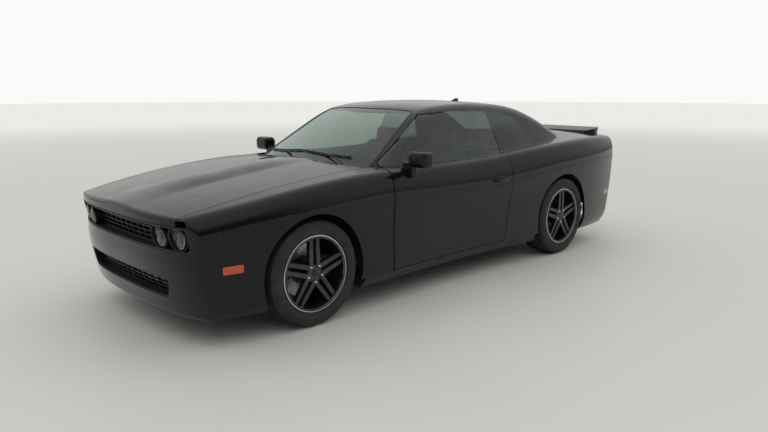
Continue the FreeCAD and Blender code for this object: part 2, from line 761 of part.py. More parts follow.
def rear_bumper():
    """The rear fascia with its plate recess and exhaust cut-outs."""
    shell = OUTER.cut(INSIDE_BUMPER).common(rear_side(0))
    shell = shell.cut(block(TAIL + 250, FAR, -640, 640, -100, 420))
    shell = shell.cut(both(front_prism([
        (478, 60), (602, 60), (602, 324), (478, 324)], TAIL - 200, TAIL + 300, 20)))
    shell = shell.cut(both(rear_marker_prism(SEAT)))
    shell = shell.cut(both(plate_hole(TAIL - 50, TAIL + 150, REAR_PLATE_Z)))
    return largest(shell.cut(WHEEL_ARCHES[1]))


def trunk_lid():
    """The boot lid, wrapped down over the tail, with its low spoiler."""
    lid = OUTER.cut(INSIDE_LID).common(plan_prism(lid_outline(0), LID_BOTTOM, 2000, 30))
    wing = side_prism([
        (TAIL + 95, DECK - 70), (TAIL + 62, DECK + 34), (TAIL + 78, DECK + 38),
        (TAIL + 230, DECK + 6), (TAIL + 262, DECK - 50)], -700, 700, 4)
    wing = wing.common(plan_prism([
        (TAIL - 100, -LID_HALF + 60), (TAIL + 150, -LID_HALF + 40), (TAIL + 300, -LID_HALF + 150),
        (TAIL + 300, LID_HALF - 150), (TAIL + 150, LID_HALF - 40), (TAIL - 100, LID_HALF - 60)],
        900, 1300, 60))
    near, far = LID_LINK_Y, LID_LINK_Y + LINK_THICK
    x, z = LID_PIN
    neck = flat_link([(x, z), (x - 10, z - 125), (x - 70, z - 140), (x - 180, z - 110),
                      (x - 200, z + 60)], LUG - 1, near, far).common(INSIDE_SKIN)
    neck = neck.fuse(Part.makeCylinder(LUG, LINK_THICK, Vector(x, near, z), Vector(0, 1, 0)))
    neck = neck.cut(eye(LID_PIN, near - 1, far + 1))
    return largest(largest(lid).multiFuse([wing.cut(INSIDE_LID), both(neck)]))


PANES = CABIN.cut(greenhouse(GLASS))
COWL_DROP = 35
INSIDE_COWL = body_solid(COWL_DROP)
INSIDE_PANEL = body_solid(COWL_DROP + 18)


def pane(prism, base=OUTER):
    """A pane cut from the cabin's layer of glass, down to the body."""
    return largest(PANES.common(prism).cut(base))


# The outside panels.
add("hood", hood())
add("trunk_lid", trunk_lid())
fender_left = fender()
add("fender_left", fender_left)
add("fender_right", mirrored(fender_left))
quarter_left = quarter()
add("quarter_left", quarter_left)
add("quarter_right", mirrored(quarter_left))
add("roof_frame", roof_frame())
add("front_bumper", front_bumper())
add("rear_bumper", rear_bumper())
door_left = door()
add("door_left", door_left)
add("door_right", mirrored(door_left))

# The panes.
add("windshield", pane(plan_prism(windshield_outline(-SEAT), 800, 2000, 60), INSIDE_COWL))
add("rear_window", pane(plan_prism(backlight_outline(-SEAT), 800, 2000, 60)))
door_pane = pane(side_prism(side_window(-PANE_GAP), 0, FAR, 40).common(
    block(B_LINE + 10, FAR, 0, FAR, BELT - 150, 2000)))
add("door_glass_left", door_pane)
add("door_glass_right", mirrored(door_pane))
side_pane = pane(side_prism(side_window(-SEAT), 0, FAR, 40).common(
    block(-FAR, B_LINE, 0, FAR, BELT - 150, 2000)))
add("quarter_windows", Part.makeCompound([side_pane, mirrored(side_pane)]))

# The lamps that sit flush in the skin.
marker = largest(OUTER.cut(INSIDE_BUMPER).common(marker_prism(0)))
add("front_markers", Part.makeCompound([marker, mirrored(marker)]))
TAIL_SHELL = OUTER.cut(INSIDE_BUMPER)
marker = largest(TAIL_SHELL.common(rear_marker_prism(0)))
lamp = TAIL_SHELL.common(tail_lamp_prism(0))
channel = tail_lamp_prism(-14).cut(tail_lamp_prism(-21))
lamp = largest(lamp.cut(channel.common(OUTER.cut(body_solid(6)))))
add("tail_lamps", Part.makeCompound([lamp, mirrored(lamp), marker, mirrored(marker)]))


# The structure behind the panels.
WALL = size("steer_wall_half")
REAR_WALL = size("rear_wall_half")
FLOOR_Z = size("floor_height")
SEAT_Z = size("seat_floor_height")
TRUNK_Z = size("trunk_floor_height")
HOUSE = size("tyre_radius") + size("wheelhouse_clearance")
SHEET = 6
FIREWALL = COWL - 45
SILL_BOX = 330


def wheelhouse(axle, wall, low):
    """The liner over one left wheel with the wall inboard of it."""
    centre = Vector(axle, wall - SHEET, AXLE_HEIGHT)
    out = Part.makeCylinder(HOUSE + SHEET, HALF - wall, centre, Vector(0, 1, 0))
    hole = Part.makeCylinder(HOUSE, HALF, centre + Vector(0, SHEET, 0), Vector(0, 1, 0))
    above = block(axle - 600, axle + 600, 0, HALF, low, 1200)
    return out.cut(hole).common(above).common(INSIDE_LID)


def front_structure():
    """Cowl, firewall, door posts, wheelhouses, rails and radiator support."""
    cowl = INSIDE_COWL.cut(INSIDE_PANEL).common(plan_prism(cowl_outline(-2), 700, 1500))
    cowl = cowl.common(block(0, FAR, -HOOD_LINK_Y + 12, HOOD_LINK_Y - 12, 0, 2000))
    firewall = block(FIREWALL, FIREWALL + 20, -WALL, WALL, FLOOR_Z, 1200).common(INSIDE_COWL)
    side = block(FIREWALL, FIREWALL + 20, WALL - 20, 697, FLOOR_Z, 1200).common(INSIDE_COWL)
    side = side.cut(block(0, FAR, HOOD_LINK_Y - 12, FAR, HOOD_PIN[1] - 20, 2000))
    post = block(DOOR_FRONT, FIREWALL + 130, 696, HALF, SILL_BOX, 1200).common(INSIDE_PANEL)
    post = post.fuse(block(DOOR_FRONT, FIREWALL + 130, 780, HALF, SILL, 1200).common(INSIDE_SKIN))
    post = post.cut(Part.makeCylinder(HOUSE, FAR, Vector(FRONT_AXLE, 0, AXLE_HEIGHT),
                                      Vector(0, 1, 0)))
    post = post.cut(block(HOOD_PIN[0] - 25, FAR, 0, HOOD_LINK_Y + LINK_THICK + 18,
                          HOOD_PIN[1] - 20, 2000))
    stud, foot = pin_bracket(HOOD_PIN, HOOD_LINK_Y, HOOD_PIN[1] - 55)
    hinges = [stud, foot.common(INSIDE_LID)] + [door_hinge(z) for z in DOOR_PIN_HEIGHTS]
    house = wheelhouse(FRONT_AXLE, WALL, 310)
    rail = block(FIREWALL, NOSE - 215, WALL - 66, WALL - SHEET, 330, 430)
    whole = cowl.multiFuse([firewall, both(side), both(post), both(house), both(rail)]
                           + [both(item) for item in hinges])
    return largest(whole)


def radiator_support():
    """The upright frame behind the nose, with the bumper beam on its two horns."""
    frame = block(NOSE - 330, NOSE - 290, -640, 640, 331, 740)
    frame = frame.cut(block(NOSE - 331, NOSE - 289, -360, 360, 400, 690))
    rail_notch = block(NOSE - 400, NOSE - 100, WALL - 66 - SEAT, WALL - SHEET + SEAT, 320, 430 + SEAT)
    beam = block(NOSE - 230, NOSE - 180, -560, 560, 470, 560)
    horn = block(NOSE - 330, NOSE - 200, WALL - 66, WALL - SHEET, 430 + SEAT, 520)
    return largest(frame.multiFuse([beam, both(horn)]).cut(both(rail_notch)))


def floor_pan():
    """The floor with its tunnel, sills, rockers and the tank under the rear seat."""
    front = FIREWALL
    plate = block(-620, front + 20, -705, 705, FLOOR, FLOOR_Z)
    channel = block(-1205, front, -120, 120, FLOOR, SEAT_Z)
    hollow = block(-1206, front + 21, -106, 106, FLOOR - 1, SEAT_Z - 14)
    rear = block(-1205, -620, -REAR_WALL + 8, REAR_WALL - 8, SEAT_Z - 12, SEAT_Z)
    heel = block(-632, -620, -705, 705, FLOOR, SEAT_Z)
    tank = block(-1100, -660, 125, 560, FLOOR + 35, SEAT_Z)
    sill = block(REAR_AXLE + ARCH + 60, front + 140, 700, DOOR_INNER - 16, FLOOR, SILL_BOX)
    rocker = OUTER.common(block(REAR_AXLE, FRONT_AXLE, 700, FAR, 0, SILL))
    whole = plate.multiFuse([channel, rear, heel, both(tank), both(sill), both(rocker)])
    for arch in WHEEL_ARCHES:
        whole = whole.cut(arch)
    for axle in (FRONT_AXLE, REAR_AXLE):
        whole = whole.cut(Part.makeCylinder(HOUSE + SHEET, 2 * FAR,
                                            Vector(axle, -FAR, AXLE_HEIGHT), Vector(0, 1, 0)))
    return largest(whole.cut(hollow))


def rear_structure():
    """Seat bulkhead, parcel shelf, wheelhouses, trunk floor, deck front and tail panel."""
    tail = TAIL_SHELL.common(tail_panel_space(0)).cut(both(tail_lamp_prism(SEAT)))
    bulkhead = block(-1225, -1205, -560, 560, SEAT_Z, 965)
    shelf = block(LID_FRONT, -1205, -575, 575, 950, 965).common(CABIN_INSIDE)
    floor = block(TAIL + 45, -1205, -REAR_WALL, REAR_WALL, TRUNK_Z, TRUNK_Z + 12)
    floor = floor.common(INSIDE_BUMPER)
    house = wheelhouse(REAR_AXLE, REAR_WALL, TRUNK_Z)
    front = LID_FRONT + LID_GAP
    deck = OUTER.cut(INSIDE_LID).cut(CABIN).common(
        block(front, BACK_BASE + 200, -380, 380, 900, 1300))
    deck_leg = block(front, front + LINK_THICK, -575, 575, 950, 1300).common(INSIDE_SKIN)
    sill = block(TAIL + 95, TAIL + 120, -600, 600, TRUNK_Z, 760).common(INSIDE_BUMPER)
    ledge = block(TAIL, TAIL + 120, -600, 600, 744, 756).common(INSIDE_SKIN)
    slot = block(LID_FRONT - 60, LID_PIN[0] + LUG + 6, LID_LINK_Y - 8, LID_LINK_Y + LINK_THICK + 8,
                 LID_PIN[1] - 200, LID_PIN[1] + 60)
    stud, foot = pin_bracket(LID_PIN, LID_LINK_Y, 950)
    whole = tail.multiFuse([bulkhead, shelf, floor, both(house), deck, deck_leg, sill, ledge])
    whole = whole.cut(both(slot)).multiFuse([both(stud), both(foot)])
    return largest(whole)


add("front_structure", front_structure())
add("radiator_support", radiator_support())
add("floor_pan", floor_pan())
add("rear_structure", rear_structure())


def recess(deep, shallow, outline, radius):
    """A layer of the nose between two depths, inside an outline of (y, z) points."""
    prism = front_prism(outline, NOSE - 330, NOSE + 200, radius)
    return body_solid(shallow).common(prism).cut(body_solid(deep))


def rim_outline(half_top, half_bottom, bottom, top, grow):
    """A four-cornered opening's outline, grown by a gap."""
    return [(-half_bottom - grow, bottom - grow), (half_bottom + grow, bottom - grow),
            (half_top + grow, top + grow), (-half_top - grow, top + grow)]


def slots(half, bottom, top, columns, rows, bridge):
    """A block of long upright-ended slots with bars of one width left between them."""
    wide = (2 * half + bridge) / columns - bridge
    tall = (top - bottom + bridge) / rows - bridge
    cuts = []
    for column in range(columns):
        y = -half + column * (wide + bridge)
        for row in range(rows):
            z = bottom + row * (tall + bridge)
            cuts.append(block(NOSE - 330, NOSE + 200, y, y + wide, z, z + tall))
    return Part.makeCompound(cuts)


def framed_grille(half_top, half_bottom, bottom, top, depth, radius, holes):
    """A recessed, slotted plate with the frame that carries it in the fascia's opening."""
    frame = recess(depth + 22, 5, rim_outline(half_top, half_bottom, bottom, top, -SEAT), radius)
    inside = front_prism(rim_outline(half_top, half_bottom, bottom, top, -10),
                         NOSE - 330, NOSE + 200, radius)
    plate = recess(depth + 22, depth, rim_outline(half_top, half_bottom, bottom, top, -5), radius)
    return largest(frame.cut(inside).fuse(plate.cut(holes)))


def lamp_can(y, z, radius):
    """A round prism along the car about one headlamp's axis."""
    return Part.makeCylinder(radius, 500, Vector(NOSE - 400, y, z), Vector(1, 0, 0))


UPPER = (OPENING_HALF, OPENING_HALF, BUMPER_TOP, OPENING_TOP, 70, 30)
LOWER = (600, 560, 300, 440, 60, 40)
LAMP = size("lamp_radius")
LAMP_SPOTS = [(y, (BUMPER_TOP + OPENING_TOP) / 2) for y in (-692, -520, 520, 692)]
lamps = []
bezels = []
layer = body_solid(28).cut(body_solid(70 - SEAT))
bezel_layer = body_solid(14).cut(body_solid(75))
groove_layer = OUTER.cut(body_solid(36))
for y, z in LAMP_SPOTS:
    groove = lamp_can(y, z, LAMP - 14).cut(lamp_can(y, z, LAMP - 21)).common(groove_layer)
    lamps.append(largest(layer.common(lamp_can(y, z, LAMP - 3)).cut(groove)))
    bezel = lamp_can(y, z, LAMP + 3).cut(lamp_can(y, z, LAMP - 3 + SEAT))
    bezels.append(largest(bezel_layer.common(bezel)))
grille = framed_grille(*UPPER, slots(425, BUMPER_TOP + 22, OPENING_TOP - 22, 10, 4, 8))
intake = framed_grille(*LOWER, slots(540, 322, 418, 12, 4, 8))
add("grilles", Part.makeCompound([largest(grille.multiFuse(bezels)), intake]))
add("headlamps", Part.makeCompound(lamps))


# The running gear.
KINGPIN = size("kingpin_half")
TRACK = size("track_half")
THICK = size("upright_thickness")
SPINDLE = size("spindle_radius")
DISC = size("disc_radius")
DISC_IN = KINGPIN + THICK / 2 + 8
DISC_OUT = DISC_IN + size("disc_thickness")
HUB_OUT = TRACK + size("tyre_width") / 2 - 42
ARM_LOW = AXLE_HEIGHT - 150
ARM_HIGH = AXLE_HEIGHT + 150
BALL = THICK / 2 + 2


def upright(axle, side):
    """One upright with its spindle and brake caliper."""
    inner, outer = KINGPIN - THICK / 2, KINGPIN + THICK / 2
    post = block(axle - 45, axle + 45, inner, outer, ARM_LOW + SEAT, ARM_HIGH - SEAT)
    spindle = bar((axle, inner, AXLE_HEIGHT), (axle, HUB_OUT - 30, AXLE_HEIGHT), SPINDLE)
    back = axle - DISC - 34
    bracket = block(back, axle, inner, outer, AXLE_HEIGHT - 40, AXLE_HEIGHT + 40)
    caliper = block(back, axle - DISC + 70, inner, DISC_OUT + 24, AXLE_HEIGHT - 75,
                    AXLE_HEIGHT + 75)
    slot = block(axle - DISC - 5, axle, DISC_IN - 3, DISC_OUT + 3, 0, 1000)
    whole = post.multiFuse([bracket, caliper]).cut(slot).fuse(spindle)
    whole = largest(whole)
    return whole if side > 0 else mirrored(whole)


def front_subframe():
    """The front cross member with its control arms and dampers."""
    cross = block(FRONT_AXLE - 80, FRONT_AXLE + 80, -430, 430, 190, 300)
    leg = block(FRONT_AXLE - 60, FRONT_AXLE + 60, WALL - 66, WALL - SHEET, 290, 330)
    low = block(FRONT_AXLE - 34, FRONT_AXLE + 34, 420, KINGPIN, ARM_LOW - 24, ARM_LOW)
    low = low.fuse(bar((FRONT_AXLE, KINGPIN, ARM_LOW - 24), (FRONT_AXLE, KINGPIN, ARM_LOW),
                       BALL))
    high = block(FRONT_AXLE - 34, FRONT_AXLE + 34, WALL, KINGPIN, ARM_HIGH, ARM_HIGH + 22)
    high = high.fuse(bar((FRONT_AXLE, KINGPIN, ARM_HIGH), (FRONT_AXLE, KINGPIN, ARM_HIGH + 22),
                         BALL))
    damper = bar((FRONT_AXLE, 548, ARM_LOW - 10), (FRONT_AXLE, 548, 700), 36)
    tower = block(FRONT_AXLE - 50, FRONT_AXLE + 50, WALL, 590, 690, 712)
    return largest(cross.multiFuse([both(leg), both(low), both(high), both(damper), both(tower)]))


def rear_subframe():
    """The rear cross member with the final drive, arms, half shafts and uprights."""
    cross = block(REAR_AXLE - 80, REAR_AXLE + 80, -430, 430, 262, 320)
    drive_case = block(REAR_AXLE - 130, REAR_AXLE + 120, -120, 120, 262, 440)
    leg = block(REAR_AXLE - 60, REAR_AXLE + 60, 380, 430, 262, TRUNK_Z)
    shaft = bar((REAR_AXLE, 100, AXLE_HEIGHT), (REAR_AXLE, KINGPIN, AXLE_HEIGHT), 20)
    low = block(REAR_AXLE - 34, REAR_AXLE + 34, 420, KINGPIN + 20, ARM_LOW - 24, ARM_LOW + 1)
    link = block(REAR_AXLE - 34, REAR_AXLE + 34, 400, 430, ARM_LOW - 24, 290)
    pieces = [drive_case, both(leg), both(shaft), both(low), both(link),
              both(upright(REAR_AXLE, 1))]
    return largest(cross.multiFuse(pieces))


add("knuckle_left", upright(FRONT_AXLE, 1))
add("knuckle_right", upright(FRONT_AXLE, -1))
add("front_subframe", front_subframe())
add("rear_subframe", rear_subframe())


def exhaust():
    """Two pipes through the tunnel, two silencers and two tips."""
    pipe = bar((COWL - 130, 45, 216), (-1600, 45, 216), 27)
    bend = Part.makeSphere(27, Vector(-1600, 45, 216))
    cross = bar((-1600, 45, 216), (-2010, 420, 290), 27)
    silencer = block(-2320, -1990, 270, 590, 245, 340)
    silencer = silencer.makeFillet(30, silencer.Edges)
    tip = bar((-2310, 540, 272), (TAIL + 118, 540, 266), 36)
    return pipe.multiFuse([bend, cross, silencer, tip])


add("exhaust", both(exhaust()))


def origin_plane(body, role):
    """One of a body's own origin planes."""
    return next(feature for feature in body.Origin.OriginFeatures if feature.Role == role)


def worth(owner, text):
    """The value of an expression over the sheet."""
    result = owner.evalExpression(text)
    return float(getattr(result, "Value", result))


def outline_sketch(body, name, role, corners):
    """A sketch of a closed outline whose corners are bound to the sheet by expressions."""
    sketch = body.newObject("Sketcher::SketchObject", name)
    sketch.AttachmentSupport = [(origin_plane(body, role), "")]
    sketch.MapMode = "FlatFace"
    spots = [tuple(worth(sketch, text) for text in corner) for corner in corners]
    lines = []
    for i, spot in enumerate(spots):
        after = spots[(i + 1) % len(spots)]
        line = Part.LineSegment(Vector(*spot, 0), Vector(*after, 0))
        lines.append(sketch.addGeometry(line, False))
    for i, line in enumerate(lines):
        after = lines[(i + 1) % len(lines)]
        sketch.addConstraint(Sketcher.Constraint("Coincident", line, 2, after, 1))
    for line, corner, spot in zip(lines, corners, spots):
        for kind, axis, text, at in zip(("DistanceX", "DistanceY"), (-2, -1), corner, spot):
            if text == "0":
                sketch.addConstraint(Sketcher.Constraint("PointOnObject", line, 1, axis))
                continue
            number = sketch.addConstraint(Sketcher.Constraint(kind, -1, 1, line, 1, at))
            sketch.setExpression(f"Constraints[{number}]", text)
    return sketch


def new_body(label):
    """A body that becomes one sub-part."""
    body = doc.addObject("PartDesign::Body", label)
    body.Label = label
    return body


def revolved(body, name, corners, axis="V_Axis"):
    """A full turn of an outline in the body's XY plane."""
    sketch = outline_sketch(body, name + "_outline", "XY_Plane", corners)
    feature = body.newObject("PartDesign::Revolution", name)
    feature.Profile = sketch
    feature.ReferenceAxis = (sketch, [axis])
    feature.Angle = 360
    sketch.Visibility = False
    return feature


def padded_outline(body, name, role, corners, length, offset="0", midplane=False, flip=False):
    """A pad of an outline, its length and start bound to the sheet."""
    sketch = outline_sketch(body, name + "_outline", role, corners)
    if offset != "0":
        sketch.setExpression("AttachmentOffset.Base.z", offset)
    feature = body.newObject("PartDesign::Pad", name)
    feature.Profile = sketch
    feature.setExpression("Length", length)
    feature.Midplane = midplane
    feature.Reversed = flip
    return feature


def place(body, x, y, z, turn=0):
    """Puts a body's origin in the car, turned about the vertical."""
    body.Placement = Placement(Vector(x, y, z), Rotation(Vector(0, 0, 1), turn))


WHEELS = [
    ("front_left", FRONT_AXLE, 1), ("front_right", FRONT_AXLE, -1),
    ("rear_left", REAR_AXLE, 1), ("rear_right", REAR_AXLE, -1),
]


def tyre(label):
    """A tyre as a ring with flat tread and sloping walls, about its own Y axis."""
    body = new_body(label)
    half = "Sizes.tyre_width / 2"
    revolved(body, label + "_ring", [
        ("Sizes.rim_radius", f"-({half} - 22)"), ("Sizes.rim_radius + 46", f"-{half}"),
        ("Sizes.tyre_radius - 24", f"-({half} - 4)"), ("Sizes.tyre_radius", f"-({half} - 32)"),
        ("Sizes.tyre_radius", f"{half} - 32"), ("Sizes.tyre_radius - 24", f"{half} - 4"),
        ("Sizes.rim_radius + 46", half), ("Sizes.rim_radius", f"{half} - 22"),
    ])
    return body


def wheel(label):
    """A rim with five twin spokes, its hub and its brake disc, about its own Y axis."""
    body = new_body(label)
    half = "Sizes.tyre_width / 2"
    bead = "Sizes.rim_radius - Sizes.seat_clearance"
    disc_in = "Sizes.kingpin_half + Sizes.upright_thickness / 2 + 8 - Sizes.track_half"
    disc_out = f"{disc_in} + Sizes.disc_thickness"
    bore = "Sizes.spindle_radius + Sizes.spindle_clearance"
    revolved(body, label + "_barrel", [
        (f"{bead} - 15", f"-({half} - 12)"), (f"{bead} + 7", f"-({half} - 12)"),
        (f"{bead} + 7", f"-({half} - 17)"), (bead, f"-({half} - 20)"), (bead, f"{half} - 20"),
        (f"{bead} + 7", f"{half} - 17"), (f"{bead} + 7", f"{half} - 9"),
        (f"{bead} - 15", f"{half} - 9"),
    ])
    revolved(body, label + "_hub", [
        ("0", f"{half} - 40"), (bore, f"{half} - 40"), (bore, disc_in),
        ("Sizes.disc_radius", disc_in), ("Sizes.disc_radius", disc_out),
        ("Sizes.hub_radius", disc_out), ("Sizes.hub_radius", f"{half} - 70"),
        ("Sizes.hub_radius - 20", f"{half} - 26"), ("0", f"{half} - 22"),
    ])
    for side, sign in (("a", ""), ("b", "-")):
        padded_outline(body, f"{label}_spoke_{side}", "XZ_Plane", [
            (f"{sign}14", "Sizes.hub_radius - 30"), (f"{sign}46", "Sizes.hub_radius - 30"),
            (f"{sign}38", "Sizes.rim_radius - 10"), (f"{sign}12", "Sizes.rim_radius - 10"),
        ], "34", offset=f"-({half} - 56)", flip=True)
    doc.recompute()
    pattern = body.newObject("PartDesign::PolarPattern", label + "_spokes")
    pattern.Originals = [doc.getObject(f"{label}_spoke_a"), doc.getObject(f"{label}_spoke_b")]
    pattern.Axis = (doc.getObject(f"{label}_hub_outline"), ["V_Axis"])
    pattern.Angle = 360
    pattern.setExpression("Occurrences", "Sizes.spoke_count")
    body.Tip = pattern
    return body


for end, axle, side in WHEELS:
    for piece in (wheel(f"wheel_{end}"), tyre(f"tyre_{end}")):
        place(piece, axle, side * TRACK, AXLE_HEIGHT, 0 if side > 0 else 180)


def seat(label, y, front):
    """A front seat: cushion, reclined back and headrest in one solid."""
    body = new_body(label)
    padded_outline(body, label + "_shell", "XZ_Plane", [
        ("260", "120"), ("250", "255"), ("225", "285"), ("-190", "255"), ("-250", "330"),
        ("-400", "870"), ("-420", "960"), ("-520", "945"), ("-500", "840"), ("-385", "300"),
        ("-330", "120"),
    ], "Sizes.seat_width", midplane=True)
    padded_outline(body, label + "_base", "XZ_Plane", [
        ("190", "Sizes.seat_clearance"), ("190", "130"), ("-300", "130"),
        ("-300", "Sizes.seat_clearance")], "Sizes.seat_width - 110", midplane=True)
    doc.recompute()
    place(body, front - 260, y, FLOOR_Z)
    return body


SEAT_FRONT = HEADER + 120
SEAT_Y = size("seat_half_spacing")
seats = [seat("seat_front_left", SEAT_Y, SEAT_FRONT), seat("seat_front_right", -SEAT_Y, SEAT_FRONT)]


def slab(label, outline, low, high, trim=None):
    """A piece with an (x, z) outline between two y values, trimmed by an optional solid."""
    shape = side_prism(outline, low, high, 25)
    return largest(shape.common(trim) if trim else shape)


add("rear_bench", slab("rear_bench", [
    (-620, SEAT_Z + SEAT), (-615, SEAT_Z + 140), (-660, SEAT_Z + 165), (-1010, SEAT_Z + 120),
    (-1080, SEAT_Z + 200), (-1170, 955), (-1200, 965), (-1205 + SEAT, SEAT_Z + SEAT)], -590, 590,
    CABIN_INSIDE.fuse(INSIDE_PANEL)))


def dashboard():
    """Dashboard, console and steering column."""
    dash = side_prism([
        (FIREWALL - 1, 640), (FIREWALL - 1, 952), (HEADER + 310, 925), (HEADER + 285, 880),
        (HEADER + 330, 760), (HEADER + 400, 640)], -690, 690, 20).common(INSIDE_PANEL)
    console = side_prism([
        (HEADER + 420, SEAT_Z + 1), (HEADER + 420, 800), (HEADER + 320, 780),
        (HEADER + 180, 560), (-320, 530), (-340, SEAT_Z + 1)], -105, 105, 15)
    column = bar(COLUMN_FOOT, COLUMN_END, 32)
    return largest(dash.multiFuse([console, column]))


STEER_AT = (HEADER + 195, SEAT_Y, 815)
LEAN = math.radians(24)
COLUMN_AXIS = (-math.cos(LEAN), 0, math.sin(LEAN))


def along_column(distance):
    """A point on the steering column's axis, measured from the wheel's centre to the driver."""
    return tuple(at + way * distance for at, way in zip(STEER_AT, COLUMN_AXIS))


COLUMN_END = along_column(-30 - SEAT)
COLUMN_FOOT = along_column(-330)
add("dashboard", dashboard())


def steering_wheel():
    """The steering wheel: a round grip on three spokes."""
    grip = Part.makeTorus(size("steering_wheel_radius") - size("steering_grip_radius"),
                          size("steering_grip_radius"))
    boss = Part.makeCylinder(70, 40, Vector(0, 0, -30))
    spokes = []
    for turn in (0, 90, 180):
        spoke = block(50, size("steering_wheel_radius") - 14, -18, 18, -9, 9)
        spoke.rotate(Vector(0, 0, 0), Vector(0, 0, 1), turn)
        spokes.append(spoke)
    whole = grip.multiFuse([boss] + spokes)
    whole.rotate(Vector(0, 0, 0), Vector(0, 0, 1), 90 + 90)
    whole.rotate(Vector(0, 0, 0), Vector(0, 1, 0), -math.degrees(math.pi / 2 - LEAN))
    whole.translate(Vector(*STEER_AT))
    return whole


add("steering_wheel", steering_wheel())


def mirror():
    """The left door mirror: a rounded shell on a short foot."""
    head = block(DOOR_FRONT - 265, DOOR_FRONT - 155, 905, 1085, BELT + 10, BELT + 128)
    head = head.makeFillet(34, head.Edges)
    foot = block(DOOR_FRONT - 235, DOOR_FRONT - 175, 835, 940, BELT - 60, BELT + 45)
    foot = foot.makeFillet(12, [edge for edge in foot.Edges if edge.Length > 100])
    return largest(head.fuse(foot).cut(OUTER))


mirror_left = mirror()
add("mirror_left", mirror_left)
add("mirror_right", mirrored(mirror_left))

engine = new_body("engine")
padded_outline(engine, "engine_block", "XZ_Plane", [
    ("-330", "-180"), ("-330", "150"), ("-250", "250"), ("300", "230"), ("370", "120"),
    ("370", "-120"), ("300", "-180")], "600", midplane=True)
for side in ("", "-"):
    padded_outline(engine, f"engine_mount{'_right' if side else '_left'}", "XY_Plane", [
        ("-40", f"{side}250"), ("60", f"{side}250"),
        ("60", f"{side}(Sizes.steer_wall_half - 66 - Sizes.seat_clearance)"),
        ("-40", f"{side}(Sizes.steer_wall_half - 66 - Sizes.seat_clearance)")], "40",
        offset="-180")
place(engine, FRONT_AXLE - 120, 0, 560)

doc.recompute()
PARTS = [item for item in doc.Objects if item.TypeId in ("Part::Feature", "PartDesign::Body")]
for item in doc.Objects:
    if "Invalid" in item.State or "Error" in item.State:
        raise RuntimeError(f"{item.Label} could not be rebuilt: {item.State}")
for item in PARTS:
    if item.Shape.isNull() or not item.Shape.isValid() or not item.Shape.Solids:
        raise RuntimeError(f"{item.Label} has no valid shape")
os.makedirs("parts", exist_ok=True)
for item in PARTS:
    item.Shape.exportStep(f"parts/{item.Label}.step")
    print(item.Label, len(item.Shape.Solids), "solids", round(item.Shape.Volume / 1e6, 2), "litres")
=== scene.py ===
# %% [markdown]
# # A dressed muscle car
# The metal of this two-door car comes ready made: every panel, pane and wheel is there, and those
# that move have their joints. What is left is what the eye reads first: lacquer, rubber, glass,
# leather and light. The whole file is one set of pieces that ride on those bodies, so a door that
# opens takes its handle, its seals and its trim with it.

# %% Load the car
import math
import bmesh
import bpy
from mathutils import Matrix, Vector


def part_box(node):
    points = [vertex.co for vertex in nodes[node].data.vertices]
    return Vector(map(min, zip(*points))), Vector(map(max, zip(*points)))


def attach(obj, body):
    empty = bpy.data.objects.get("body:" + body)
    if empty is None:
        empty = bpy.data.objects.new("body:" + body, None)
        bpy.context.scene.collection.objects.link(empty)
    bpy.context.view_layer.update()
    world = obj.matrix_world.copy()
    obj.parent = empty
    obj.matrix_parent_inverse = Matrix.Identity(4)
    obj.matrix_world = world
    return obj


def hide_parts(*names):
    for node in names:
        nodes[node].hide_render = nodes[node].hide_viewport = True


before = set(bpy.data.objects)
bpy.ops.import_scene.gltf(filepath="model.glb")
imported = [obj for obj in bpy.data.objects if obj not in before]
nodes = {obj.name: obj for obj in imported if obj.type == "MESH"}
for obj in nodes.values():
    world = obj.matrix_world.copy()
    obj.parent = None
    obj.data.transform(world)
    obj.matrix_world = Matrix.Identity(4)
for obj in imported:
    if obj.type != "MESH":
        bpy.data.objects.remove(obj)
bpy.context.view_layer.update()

# %% [markdown]
# Every finish here starts from the same three layers. A slow noise shifts the colour a little, as
# dust and age do. A second one shifts the gloss, because no real surface is evenly polished.
# A fine one is fed to a bump, for grain, orange peel or brushing. Keeping that in a few small
# helpers makes each finish a short recipe. The pattern follows the object's own coordinates, so it
# stays on the metal when a door swings.

# %% Small helpers for finishes
def new_finish(name):
    """A material, its node tree, its shader and the coordinates that its patterns follow."""
    material = bpy.data.materials.new(name)
    material.use_nodes = True
    tree = material.node_tree
    shader = tree.nodes["Principled BSDF"]
    where = tree.nodes.new("ShaderNodeTexCoord").outputs["Object"]
    return material, tree, shader, where


def noise(tree, where, scale, detail=4.0, roughness=0.55):
    """A noise pattern's strength over the surface."""
    node = tree.nodes.new("ShaderNodeTexNoise")
    node.inputs["Scale"].default_value = scale
    node.inputs["Detail"].default_value = detail
    node.inputs["Roughness"].default_value = roughness
    tree.links.new(where, node.inputs["Vector"])
    return node.outputs["Fac"]


def stretched(tree, where, factors):
    """The same coordinates, stretched along the axes, for brushing and grain."""
    node = tree.nodes.new("ShaderNodeMapping")
    node.inputs["Scale"].default_value = factors
    tree.links.new(where, node.inputs["Vector"])
    return node.outputs["Vector"]


def colours(tree, value, stops):
    """A colour that follows a value through a few stops."""
    node = tree.nodes.new("ShaderNodeValToRGB")
    ramp = node.color_ramp
    while len(ramp.elements) < len(stops):
        ramp.elements.new(0.5)
    for element, (position, colour) in zip(ramp.elements, stops):
        element.position = position
        element.color = (*colour, 1)
    tree.links.new(value, node.inputs["Fac"])
    return node.outputs["Color"]


def between(tree, value, start, end, low, high):
    """A value from start to end spread over low to high."""
    node = tree.nodes.new("ShaderNodeMapRange")
    for name, number in zip(("From Min", "From Max", "To Min", "To Max"), (start, end, low, high)):
        node.inputs[name].default_value = number
    tree.links.new(value, node.inputs["Value"])
    return node.outputs["Result"]


